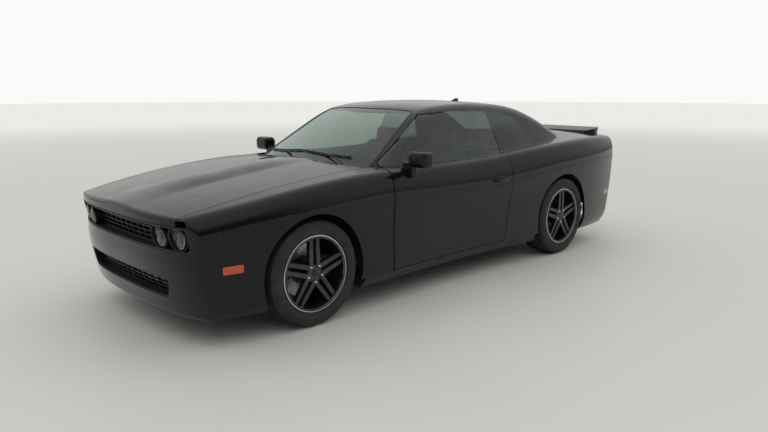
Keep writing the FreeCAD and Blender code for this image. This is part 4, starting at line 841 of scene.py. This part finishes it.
# %% Headlamps
lamp_places = (-0.692, -0.520, 0.520, 0.692)
dark_bowl = grained("dark_bowl", (0.02, 0.02, 0.021), (0.05, 0.05, 0.052), (0.12, 0.22),
                    depth=0.00003, metal=0.8)
frosted = grained("frosted_ring", (0.55, 0.56, 0.56), (0.68, 0.69, 0.69), (0.3, 0.42),
                  depth=0.00003)


def turned(name, x, y, z, profile, finish, count=64):
    """A (radius, forward) profile turned about a line along the car."""
    shape = bmesh.new()
    rings = []
    for radius, ahead in profile:
        rings.append(ring_of(shape, count, lambda a: (x + ahead, y + radius * math.cos(a),
                                                      z + radius * math.sin(a))))
    skin(shape, rings)
    bmesh.ops.remove_doubles(shape, verts=shape.verts, dist=0.00002)
    return mesh_piece(name, shape, finish, "body")


lamp_low, lamp_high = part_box("headlamps")
z = (lamp_low.z + lamp_high.z) / 2
for number, y in enumerate(lamp_places):
    face = hit("headlamps", (3.0, y, z), (-1, 0, 0))[0].x
    bowl = [(0.0685, -0.002), (0.0665, -0.002), (0.058, -0.014), (0.050, -0.024),
            (0.040, -0.030), (0.028, -0.033), (0.0, -0.033)]
    turned(f"lamp_bowl_{number}", face, y, z, bowl, dark_bowl)
    collar = [(0.031, -0.034), (0.033, -0.022), (0.0315, -0.014), (0.029, -0.013),
              (0.027, -0.018), (0.027, -0.034)]
    turned(f"lamp_collar_{number}", face, y, z, collar, bright_metal)
    ball = [(0.0265 * math.sin(k * math.pi / 24), -0.032 + 0.022 * math.cos(k * math.pi / 24))
            for k in range(13)]
    turned(f"lamp_ball_{number}", face, y, z, ball, lens_clear)
    halo = []
    for k in range(13):
        angle = 2 * math.pi * k / 12
        halo.append((0.0545 + 0.0028 * math.cos(angle), -0.0085 + 0.0028 * math.sin(angle)))
    turned(f"lamp_ring_{number}", face, y, z, halo, frosted)
    cover = [(0.0688, -0.0040), (0.0688, -0.0010), (0.060, 0.0030), (0.045, 0.0065),
             (0.025, 0.0090), (0.0, 0.0098)]
    cover += [(max(radius - 0.0003, 0.0), ahead - 0.0016) for radius, ahead in reversed(cover[2:])]
    turned(f"lamp_cover_{number}", face, y, z, cover, lens_clear)
print("headlamps fitted at", lamp_places)

# %% [markdown]
# Behind the slots of both grilles sits a net of thin wire, as deep as the slots are wide, so the
# openings read dark but never empty. It follows the bowed nose by asking the grille where it is.

# %% Grille nets
for label, half, bottom, top, rib in (("upper", 0.420, 0.624, 0.748, 0.655),
                                      ("lower", 0.535, 0.318, 0.422, 0.344)):
    steps = [-half + 2 * half * k / 40 for k in range(41)]
    depth = [hit("grilles", (3.0, y, rib), (-1, 0, 0))[0].x - 0.026 for y in steps]

    def behind(y):
        """How far back the net lies at one place across the car."""
        at = min(max((y + half) / (2 * half) * 40, 0.0), 39.999)
        k = int(at)
        return depth[k] + (depth[k + 1] - depth[k]) * (at - k)

    shape = bmesh.new()
    tall = top - bottom
    for lean in (1, -1):
        for k in range(int(2 * half / 0.015)):
            y0 = -half + k * 0.015
            if -half <= y0 + lean * tall <= half:
                tube(shape, [(behind(y0 + lean * tall * t), y0 + lean * tall * t,
                              bottom + tall * t) for t in (0.0, 0.5, 1.0)], 0.0011, 5)
    mesh_piece("grille_net_" + label, shape, black_plastic, "body")
print("grille nets: 2")

# %% [markdown]
# Two wipers rest on the foot of the windshield. Their blades are laid on the glass point by point,
# so they touch it along their whole length, and their arms rise from pivots in the cowl.

# %% Wipers
for number, (y_far, y_pivot) in enumerate(((-0.06, 0.50), (-0.60, -0.04))):
    blade = []
    for k in range(15):
        t = k / 14
        y = y_pivot - 0.02 + (y_far - y_pivot + 0.04) * t
        x = 0.915 - 0.10 * (y / 0.7) ** 2 + 0.015 * math.sin(math.pi * t)
        spot, normal = hit("windshield", (x, y, 2.0), (0, 0, -1))
        blade.append(spot + normal * 0.007)
    strip(f"wiper_blade_{number}", blade, 0.005, rubber, "body")
    spine = [spot + Vector((0, 0, 0.007)) for spot in blade]
    strip(f"wiper_spine_{number}", spine, 0.0035, gloss_black, "body")
    middle = spine[7]
    foot = Vector((1.020 - 0.10 * (y_pivot / 0.7) ** 2, y_pivot, 1.000))
    arm = [foot, foot.lerp(middle, 0.3) + Vector((0, 0, 0.022)),
           foot.lerp(middle, 0.75) + Vector((0, 0, 0.012)), middle]
    strip(f"wiper_arm_{number}", arm, 0.006, black_plastic, "body")
print("wipers: 2")

# %% [markdown]
# The fuel flap on the left side shows only as its round seam. Thirty-six rays round a circle
# carry the seam over the curved panel. A low fin on the roof hides the aerial.

# %% Fuel flap and aerial
flap_x, flap_z, flap_radius = -1.72, 0.845, 0.080
seam = []
for k in range(36):
    angle = 2 * math.pi * k / 36
    spot, normal = hit("quarter_left", (flap_x + flap_radius * math.cos(angle), 2.0,
                                        flap_z + flap_radius * math.sin(angle)), (0, -1, 0))
    seam.append(spot - normal * 0.0006)
strip("fuel_flap_seam", seam, 0.0018, gloss_black, "body", cyclic=True)
fin_spot = hit("roof_frame", (-0.86, 0.0, 3.0), (0, 0, -1))[0]
shape = bmesh.new()
rings = []
for front, back, wide, height in ((0.062, -0.062, 0.019, -0.004), (0.040, -0.060, 0.012, 0.010),
                                  (0.006, -0.058, 0.006, 0.024), (-0.018, -0.054, 0.003, 0.032)):
    rings.append(ring_of(shape, 28, lambda a: (
        fin_spot.x + (front + back) / 2 + (front - back) / 2 * math.cos(a), wide * math.sin(a),
        fin_spot.z + height)))
skin(shape, rings, caps=(0, -1))
mesh_piece("aerial_fin", shape, gloss_black, "body")
print("flap and fin placed")

# %% [markdown]
# The exhaust tips are solid rods in the ready made part. A polished sleeve is slipped over each
# end, a hair larger than the rod. A black disc over the rod's end shows the open pipe: its black is
# the soot a pipe has, and painted shade for the depth of the bore.

# %% Exhaust tips
tail_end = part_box("exhaust")[0].x
tip_across, tip_height = 0.540, 0.2663
for side, way in sides:
    sleeve = [(0.0305, 0.010), (0.0305, -0.0035), (0.0335, -0.0050), (0.0372, -0.0040),
              (0.0380, 0.0), (0.0380, 0.070), (0.0362, 0.074)]
    turned("exhaust_sleeve_" + side, tail_end, way * tip_across, tip_height, sleeve, bright_metal)
    # The bore is a flat black disc: partly the pipe's soot, partly painted shade for the depth
    # inside it.
    turned("exhaust_bore_" + side, tail_end, way * tip_across, tip_height,
           [(0.0308, -0.0012), (0.0, -0.0012)], black_plastic)
print("exhaust ends at", round(tail_end, 3))

# %% [markdown]
# The dashboard's main form is ready made. On it go the parts that a driver looks at: a hooded
# cluster with two dials, a screen, four vents and three round knobs.

# %% Dashboard
def dial(name, x, y, z, radius):
    """A dial that faces back and a little up: a bezel, a face, ticks and a needle, no figures."""
    lean = Matrix.Translation((x, y, z)) @ Matrix.Rotation(math.radians(-68), 4, "Y")
    shape = bmesh.new()
    rings = []
    for reach, rise in ((radius + 0.004, 0.0), (radius + 0.003, 0.008), (radius, 0.008),
                        (radius - 0.001, 0.002)):
        rings.append(ring_of(shape, 48, lambda a: (reach * math.cos(a), reach * math.sin(a),
                                                   rise)))
    skin(shape, rings)
    bmesh.ops.transform(shape, matrix=lean, verts=shape.verts)
    mesh_piece(name + "_bezel", shape, bright_metal, "body")
    shape = bmesh.new()
    shape.faces.new(ring_of(shape, 48, lambda a: (radius * math.cos(a), radius * math.sin(a),
                                                  0.002)))
    bmesh.ops.transform(shape, matrix=lean, verts=shape.verts)
    mesh_piece(name + "_face", shape, gloss_black, "body", smooth=False)
    shape = bmesh.new()
    for k in range(25):
        angle = math.radians(-225 + 270 * k / 24 + 90)
        inner = radius * (0.76 if k % 4 == 0 else 0.84)
        outer = radius * 0.92
        wide = 0.0011 if k % 4 == 0 else 0.0006
        c, s = math.cos(angle), math.sin(angle)
        tick = [(inner * c - wide * s, inner * s + wide * c),
                (outer * c - wide * s, outer * s + wide * c),
                (outer * c + wide * s, outer * s - wide * c),
                (inner * c + wide * s, inner * s - wide * c)]
        shape.faces.new([shape.verts.new((u, v, 0.0026)) for u, v in tick])
    bmesh.ops.transform(shape, matrix=lean, verts=shape.verts)
    mesh_piece(name + "_ticks", shape, frosted, "body", smooth=False)
    shape = bmesh.new()
    tip = Vector((radius * 0.80 * math.cos(2.5), radius * 0.80 * math.sin(2.5), 0.004))
    tube(shape, [(0, 0, 0.004), tuple(tip * 0.5), tuple(tip)], 0.0009, 6)
    tube(shape, [(0, 0, 0.002), (0, 0, 0.0065)], 0.006, 16)
    bmesh.ops.transform(shape, matrix=lean, verts=shape.verts)
    mesh_piece(name + "_needle", shape, red_lens, "body")


drawn("cluster_hood", [(0.590, 0.905), (0.552, 0.895), (0.520, 0.935), (0.560, 0.952),
                       (0.680, 0.945), (0.720, 0.925), (0.660, 0.905)],
      0.205, 0.540, soft_trim, bevel=0.008)
drawn("cluster_shell", [(0.556, 0.885), (0.566, 0.915), (0.612, 0.915), (0.640, 0.800),
                        (0.598, 0.792)], 0.215, 0.530, soft_trim, bevel=0.005)
for label, y in (("speed", 0.425), ("engine_speed", 0.318)):
    dial("dial_" + label, 0.567, y, 0.850, 0.044)
drawn("screen_frame", [(0.550, 0.892), (0.580, 0.802), (0.596, 0.806), (0.566, 0.896)],
      -0.115, 0.115, gloss_black, bevel=0.006)
vents = 0
vent_half = 0.045
for y in (-0.600, -0.165, 0.165, 0.625):
    shape = bmesh.new()
    for k in range(5):
        z = 0.825 + 0.013 * k
        x = 0.5725 - 0.36 * (z - 0.835)
        prism(shape, [(x, z), (x + 0.016, z + 0.004), (x + 0.016, z + 0.006), (x, z + 0.002)],
              y - vent_half, y + vent_half)
    for edge in (-vent_half - 0.004, vent_half):
        prism(shape, [(0.575, 0.815), (0.545, 0.895), (0.565, 0.895), (0.595, 0.815)],
              y + edge, y + edge + 0.004)
    mesh_piece(f"vent_{vents}", shape, gloss_black, "body", smooth=False)
    vents += 1
knob_way = Vector((-0.94, 0, 0.34))
for k in (-1, 0, 1):
    centre = Vector((0.622, 0.062 * k, 0.712))
    bar(f"climate_knob_{k + 1}", [tuple(centre), tuple(centre + knob_way * 0.010),
                                  tuple(centre + knob_way * 0.026)], 0.019, bright_metal, sides=32)
print("vents:", vents)

# %% [markdown]
# Between the seats stand the shift lever in its pleated boot, two cup wells and a padded arm rest.

# %% Console
shape = bmesh.new()
rings = []
for level in range(15):
    t = level / 14
    radius = 0.052 * (1 - t) ** 1.2 + 0.013 + (0.0035 if level % 2 else 0.0)
    rings.append(ring_of(shape, 32, lambda a: (0.095 - 0.02 * t + radius * math.cos(a),
                                               radius * math.sin(a), 0.555 + 0.075 * t)))
skin(shape, rings)
mesh_piece("shift_boot", shape, leather, "body")
bar("shift_lever", [(0.075, 0, 0.62), (0.070, 0, 0.66), (0.066, 0, 0.69)], 0.006, bright_metal)
shape = bmesh.new()
bmesh.ops.create_uvsphere(shape, u_segments=28, v_segments=18, radius=0.025,
                          matrix=Matrix.Translation((0.064, 0, 0.705)))
mesh_piece("shift_knob", shape, gloss_black, "body")
for number, x in enumerate((-0.055, -0.145)):
    shape = bmesh.new()
    top = hit("dashboard", (x, 0.0, 1.0), (0, 0, -1))[0].z
    rings = []
    for reach, rise in ((0.042, 0.0), (0.041, 0.004), (0.037, 0.004), (0.0365, 0.0006)):
        rings.append(ring_of(shape, 40, lambda a: (x + reach * math.cos(a), reach * math.sin(a),
                                                   top + rise)))
    skin(shape, rings, caps=(-1,))
    mesh_piece(f"cup_well_{number}", shape, gloss_black, "body")
cushion("armrest", Vector((-0.265, 0.0, 0.553)), (0.045, 0.17, 0.15), math.radians(-91), 0.006,
        0, 0.0)
print("console dressed")

# %% [markdown]
# The steering wheel keeps its ready made rim. A padded horn cover and a ring of stitches go on
# it, and turn with it.

# %% Steering wheel
column_rake = math.radians(24)
column_way = Vector((-math.cos(column_rake), 0.0, math.sin(column_rake)))
wheel_at = Vector((0.466, seat_across, 0.815))
grip_circle, grip_radius = 0.185, 0.0150
side_way = Vector((0, 1, 0))
up_way = side_way.cross(column_way)
on_wheel = Matrix((side_way, -up_way, column_way)).transposed().to_4x4()
on_wheel = Matrix.Translation(wheel_at) @ on_wheel
if (on_wheel @ Vector((0, 0.1, 0))).z < wheel_at.z:
    on_wheel = on_wheel @ Matrix.Diagonal((-1, -1, 1, 1))
shape = bmesh.new()
rings = []
for reach, rise in ((0.060, -0.004), (0.062, 0.006), (0.058, 0.014), (0.046, 0.020), (0.028, 0.023),
                    (0.010, 0.024)):
    rings.append(ring_of(shape, 48, lambda a: (reach * 1.15 * squared(math.cos(a), 0.8),
                                               reach * squared(math.sin(a), 0.8),
                                               rise + 0.020)))
skin(shape, rings, caps=(-1,))
bmesh.ops.transform(shape, matrix=on_wheel, verts=shape.verts)
mesh_piece("horn_cover", shape, soft_trim, "steering")
shape = bmesh.new()
stitches = 150
inner = grip_circle - grip_radius
for k in range(stitches):
    angle = 2 * math.pi * k / stitches
    spot = Vector((inner * math.cos(angle), inner * math.sin(angle), 0.0))
    after = Vector((inner * math.cos(angle + 0.02), inner * math.sin(angle + 0.02), 0.0))
    rise = Vector((0, 0, 0.0035))
    tube(shape, [tuple(spot - rise), tuple(after + rise)], 0.0009, 5)
bmesh.ops.transform(shape, matrix=on_wheel, verts=shape.verts)
mesh_piece("steering_stitches", shape, frosted, "steering")
print("steering wheel dressed")

# %% [markdown]
# Each door's inner wall gets a low and a high card, an arm rest between them, a pull and a
# speaker cover with real holes. The pedals hang below the dashboard on their own arms.

# %% Door cards and pedals
face = 0.786
arm_rest = [(-0.40, 0.640), (0.42, 0.655), (0.50, 0.700), (0.44, 0.722), (-0.36, 0.705),
            (-0.42, 0.675)]
low_card = [(-0.47, 0.300), (0.66, 0.300), (0.66, 0.640), (-0.47, 0.620)]
high_card = [(-0.47, 0.735), (0.60, 0.745), (0.66, 0.900), (-0.47, 0.905)]
for side, way in sides:
    body = side + "_door"
    for name, outline, depth, finish, bevel in (
            ("door_arm_rest_", arm_rest, 0.058, leather, 0.012),
            ("door_card_low_", low_card, 0.009, carpet, 0.004),
            ("door_card_high_", high_card, 0.009, leather, 0.004)):
        a, b = sorted((way * (face + 0.002), way * (face - depth)))
        drawn(name + side, outline, a, b, finish, body, bevel)
    path = []
    for k in range(13):
        u = -1 + k / 6
        path.append((0.40 + 0.060 * u, way * (face - 0.012 - 0.028 * (1 - u ** 4)), 0.820))
    bar("door_pull_" + side, path, 0.006, bright_metal, body)
    shape = bmesh.new()
    rings = []
    steps = 60
    for row in range(13):
        reach = 0.012 + 0.078 * row / 12
        rings.append(ring_of(shape, steps, lambda a: (
            0.42 + reach * math.cos(a), way * (face - 0.0115 - 0.004 * (1 - (reach / 0.09) ** 2)),
            0.445 + reach * math.sin(a))))
    for row in range(12):
        for k in range(steps):
            if 0 < row < 11 and row % 2 == 1 and k % 2 == 0:
                continue
            after = (k + 1) % steps
            shape.faces.new((rings[row][k], rings[row][after], rings[row + 1][after],
                             rings[row + 1][k]))
    mesh_piece("speaker_" + side, shape, black_plastic, body)
for label, y, wide in (("throttle", 0.270, 0.026), ("brake", 0.375, 0.042),
                       ("clutch", 0.475, 0.03)):
    shape = bmesh.new()
    prism(shape, [(0.840, 0.300), (0.875, 0.385), (0.882, 0.382), (0.848, 0.297)], y - wide,
          y + wide, 0.002)
    for k in range(4):
        z = 0.316 + 0.018 * k
        x = 0.838 + (z - 0.300) * 0.412
        prism(shape, [(x + 0.004, z), (x, z + 0.003), (x + 0.004, z + 0.006)], y - wide * 0.8,
              y + wide * 0.8)
    tube(shape, [(0.865, y, 0.345), (0.915, y, 0.420), (0.925, y, 0.640)], 0.006)
    mesh_piece("pedal_" + label, shape, gloss_black, "body", smooth=False)
print("door cards and pedals done")

# %% [markdown]
# Under the hood the ready made part has one plain block at the engine's real size. What shows with
# the hood up is laid on it and round it: two ribbed covers with their leads, an intake with its
# tube, and a radiator core with fins and tanks.

# %% Engine bay
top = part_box("engine")[1].z


def rounded_box(shape, low, high, bevel):
    """A box between two corners with bevelled edges."""
    prism(shape, [(low[0], low[2]), (high[0], low[2]), (high[0], high[2]), (low[0], high[2])],
          low[1], high[1], bevel)


for side, way in sides:
    shape = bmesh.new()
    y0, y1 = sorted((way * 0.090, way * 0.215))
    rounded_box(shape, (1.19, y0, top - 0.06), (1.72, y1, top + 0.028), 0.012)
    for k in range(9):
        x = 1.225 + 0.056 * k
        rounded_box(shape, (x, y0 + 0.012, top + 0.026), (x + 0.020, y1 - 0.012, top + 0.036),
                    0.003)
    mesh_piece("valve_cover_" + side, shape, black_plastic, "body", smooth=False)
    shape = bmesh.new()
    for k in range(4):
        x = 1.245 + 0.13 * k
        tube(shape, [(x, way * 0.205, top + 0.004), (x + 0.02, way * 0.245, top - 0.01),
                     (x + 0.02, way * 0.262, top - 0.07)], 0.006, 8)
    mesh_piece("plug_leads_" + side, shape, rubber, "body")
shape = bmesh.new()
rounded_box(shape, (1.22, -0.082, top - 0.01), (1.66, 0.082, top + 0.050), 0.016)
mesh_piece("intake_plenum", shape, bright_metal, "body", smooth=False)
shape = bmesh.new()
path = [(1.66, 0.0, top + 0.018), (1.74, 0.0, top + 0.022), (1.80, -0.05, top + 0.005),
        (1.86, -0.16, top - 0.03), (1.93, -0.27, top - 0.08)]
tube(shape, path, 0.036, 20)
for k in range(4):
    at = Vector(path[1]).lerp(Vector(path[2]), k / 3)
    tube(shape, [tuple(at), tuple(at + Vector((0.008, -0.006, -0.002)))], 0.040, 20)
mesh_piece("intake_tube", shape, rubber, "body")
core_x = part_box("radiator_support")[0].x - 0.004
shape = bmesh.new()
for k in range(120):
    y = -0.352 + 0.704 * k / 119
    rounded_box(shape, (core_x - 0.022, y - 0.0006, 0.41), (core_x + 0.004, y + 0.0006, 0.68), 0)
mesh_piece("radiator_fins", shape, pipe_steel, "body", smooth=False)
shape = bmesh.new()
for z in (0.402, 0.680):
    rounded_box(shape, (core_x - 0.034, -0.356, z), (core_x - 0.001, 0.356, z + 0.022), 0.006)
for y in (-0.362, 0.350):
    rounded_box(shape, (core_x - 0.034, y, 0.400), (core_x - 0.001, y + 0.012, 0.700), 0.003)
mesh_piece("radiator_tanks", shape, black_plastic, "body", smooth=False)
print("engine bay dressed, top of the block at", round(top, 3))

# %% [markdown]
# The car stands in a white studio. The wall is only light: a world that is white to the camera,
# weaker as a lamp so that a colour renders about as it is written, and weaker still in reflections.
# It grows brighter overhead without an edge, so the hood shows a soft slope of light and no lamp.
# On the side that the car's left front corner faces, it fades to dark near the floor, as a studio's
# black curtains do. That is what makes black paint look black. All round, its lowest band dims to
# half. The floor is pale grey near the car. Far behind it, its colour is painted brighter up to the
# wall's white, a painted brightening that stands in for the light that blends floor and wall.

# %% Studio
floor_radius = 60.0
fade_start, fade_end = 7.0, 24.0
as_lamp, as_reflection, to_the_eye = 0.80, 0.58, 0.955
dark_side = (0.62, 0.78, 0.0)
darkest = 0.03


def studio_floor():
    """A pale round floor, painted brighter far away so it fades into the white wall."""
    mesh = bpy.data.meshes.new("studio_floor")
    shape = bmesh.new()
    bmesh.ops.create_circle(shape, cap_ends=True, radius=floor_radius, segments=96)
    shape.to_mesh(mesh)
    shape.free()
    floor = bpy.data.objects.new("studio_floor", mesh)
    bpy.context.scene.collection.objects.link(floor)
    material, tree, shader, where = new_finish("floor_paint")
    away = tree.nodes.new("ShaderNodeVectorMath")
    away.operation = "LENGTH"
    tree.links.new(where, away.inputs[0])
    # Painted light: the floor's colour grows paler with distance, standing in for the light that
    # blends it into the white wall.
    fade = between(tree, away.outputs["Value"], fade_start, fade_end, 0.0, 1.0)
    tree.links.new(colours(tree, fade, [(0.0, (0.65, 0.65, 0.62)), (0.5, (0.70, 0.71, 0.68)),
                                        (1.0, (0.94, 0.94, 0.92))]), shader.inputs["Base Color"])
    rough_by(tree, shader, noise(tree, where, 1.5), 0.45, 0.6)
    floor.data.materials.append(material)


def studio_light():
    """A white world, brighter to the eye than as a lamp."""
    world = bpy.data.worlds.new("studio")
    world.use_nodes = True
    bpy.context.scene.world = world
    tree = world.node_tree
    back = tree.nodes["Background"]
    back.inputs["Color"].default_value = (1.0, 1.0, 0.985, 1)
    path = tree.nodes.new("ShaderNodeLightPath")
    way = tree.nodes.new("ShaderNodeTexCoord")
    split = tree.nodes.new("ShaderNodeSeparateXYZ")
    tree.links.new(way.outputs["Generated"], split.inputs["Vector"])
    plain = between(tree, path.outputs["Is Glossy Ray"], 0.0, 1.0, as_lamp, as_reflection)
    lift = between(tree, split.outputs["Z"], 0.0, 1.0, 1.0, 1.35)
    facing = tree.nodes.new("ShaderNodeVectorMath")
    facing.operation = "DOT_PRODUCT"
    facing.inputs[1].default_value = dark_side
    tree.links.new(way.outputs["Generated"], facing.inputs[0])
    sideways = smooth(tree, facing.outputs["Value"], 0.10, 0.62)
    below = smooth(tree, split.outputs["Z"], 0.62, 0.18)
    dusk = multiplied(tree, sideways, below)
    kept = between(tree, dusk, 0.0, 1.0, 1.0, darkest)
    foot = between(tree, smooth(tree, split.outputs["Z"], 0.0, 0.14), 0.0, 1.0, 0.5, 1.0)
    mirrored = multiplied(tree, multiplied(tree, plain, lift), multiplied(tree, kept, foot))
    seen = tree.nodes.new("ShaderNodeMath")
    seen.operation = "MAXIMUM"
    tree.links.new(path.outputs["Is Camera Ray"], seen.inputs[0])
    tree.links.new(path.outputs["Is Transmission Ray"], seen.inputs[1])
    strength = tree.nodes.new("ShaderNodeMix")
    strength.data_type = "FLOAT"
    tree.links.new(seen.outputs["Value"], strength.inputs["Factor"])
    tree.links.new(mirrored, strength.inputs["A"])
    strength.inputs["B"].default_value = to_the_eye
    tree.links.new(strength.outputs["Result"], back.inputs["Strength"])


studio_floor()
studio_light()
print("studio: one floor and one white world")

# %% [markdown]
# The camera stands off the car's front left corner, at the height of a person's eyes. Its place,
# its two angles and its lens were fitted to the outline of the car in the picture. Only they
# matter, so it is set by numbers instead of by hand.

# %% Camera
eye = Vector((4.235, 4.386, 1.590))
heading = math.radians(-133.49)
dip = math.radians(-10.92)
picture_width, focal_pixels = 768.0, 682.1
film = 36.0
view = bpy.data.cameras.new("view")
view.sensor_width = film
view.lens = focal_pixels / picture_width * film
camera = bpy.data.objects.new("view", view)
camera.location = eye
turn = Matrix.Rotation(heading - math.pi / 2, 3, "Z") @ Matrix.Rotation(math.pi / 2 + dip, 3, "X")
camera.rotation_euler = turn.to_euler()
bpy.context.scene.collection.objects.link(camera)
bpy.context.scene.camera = camera
bpy.context.scene.view_settings.view_transform = "Standard"
print("camera at", [round(v, 2) for v in eye], "lens", round(view.lens, 1), "mm")
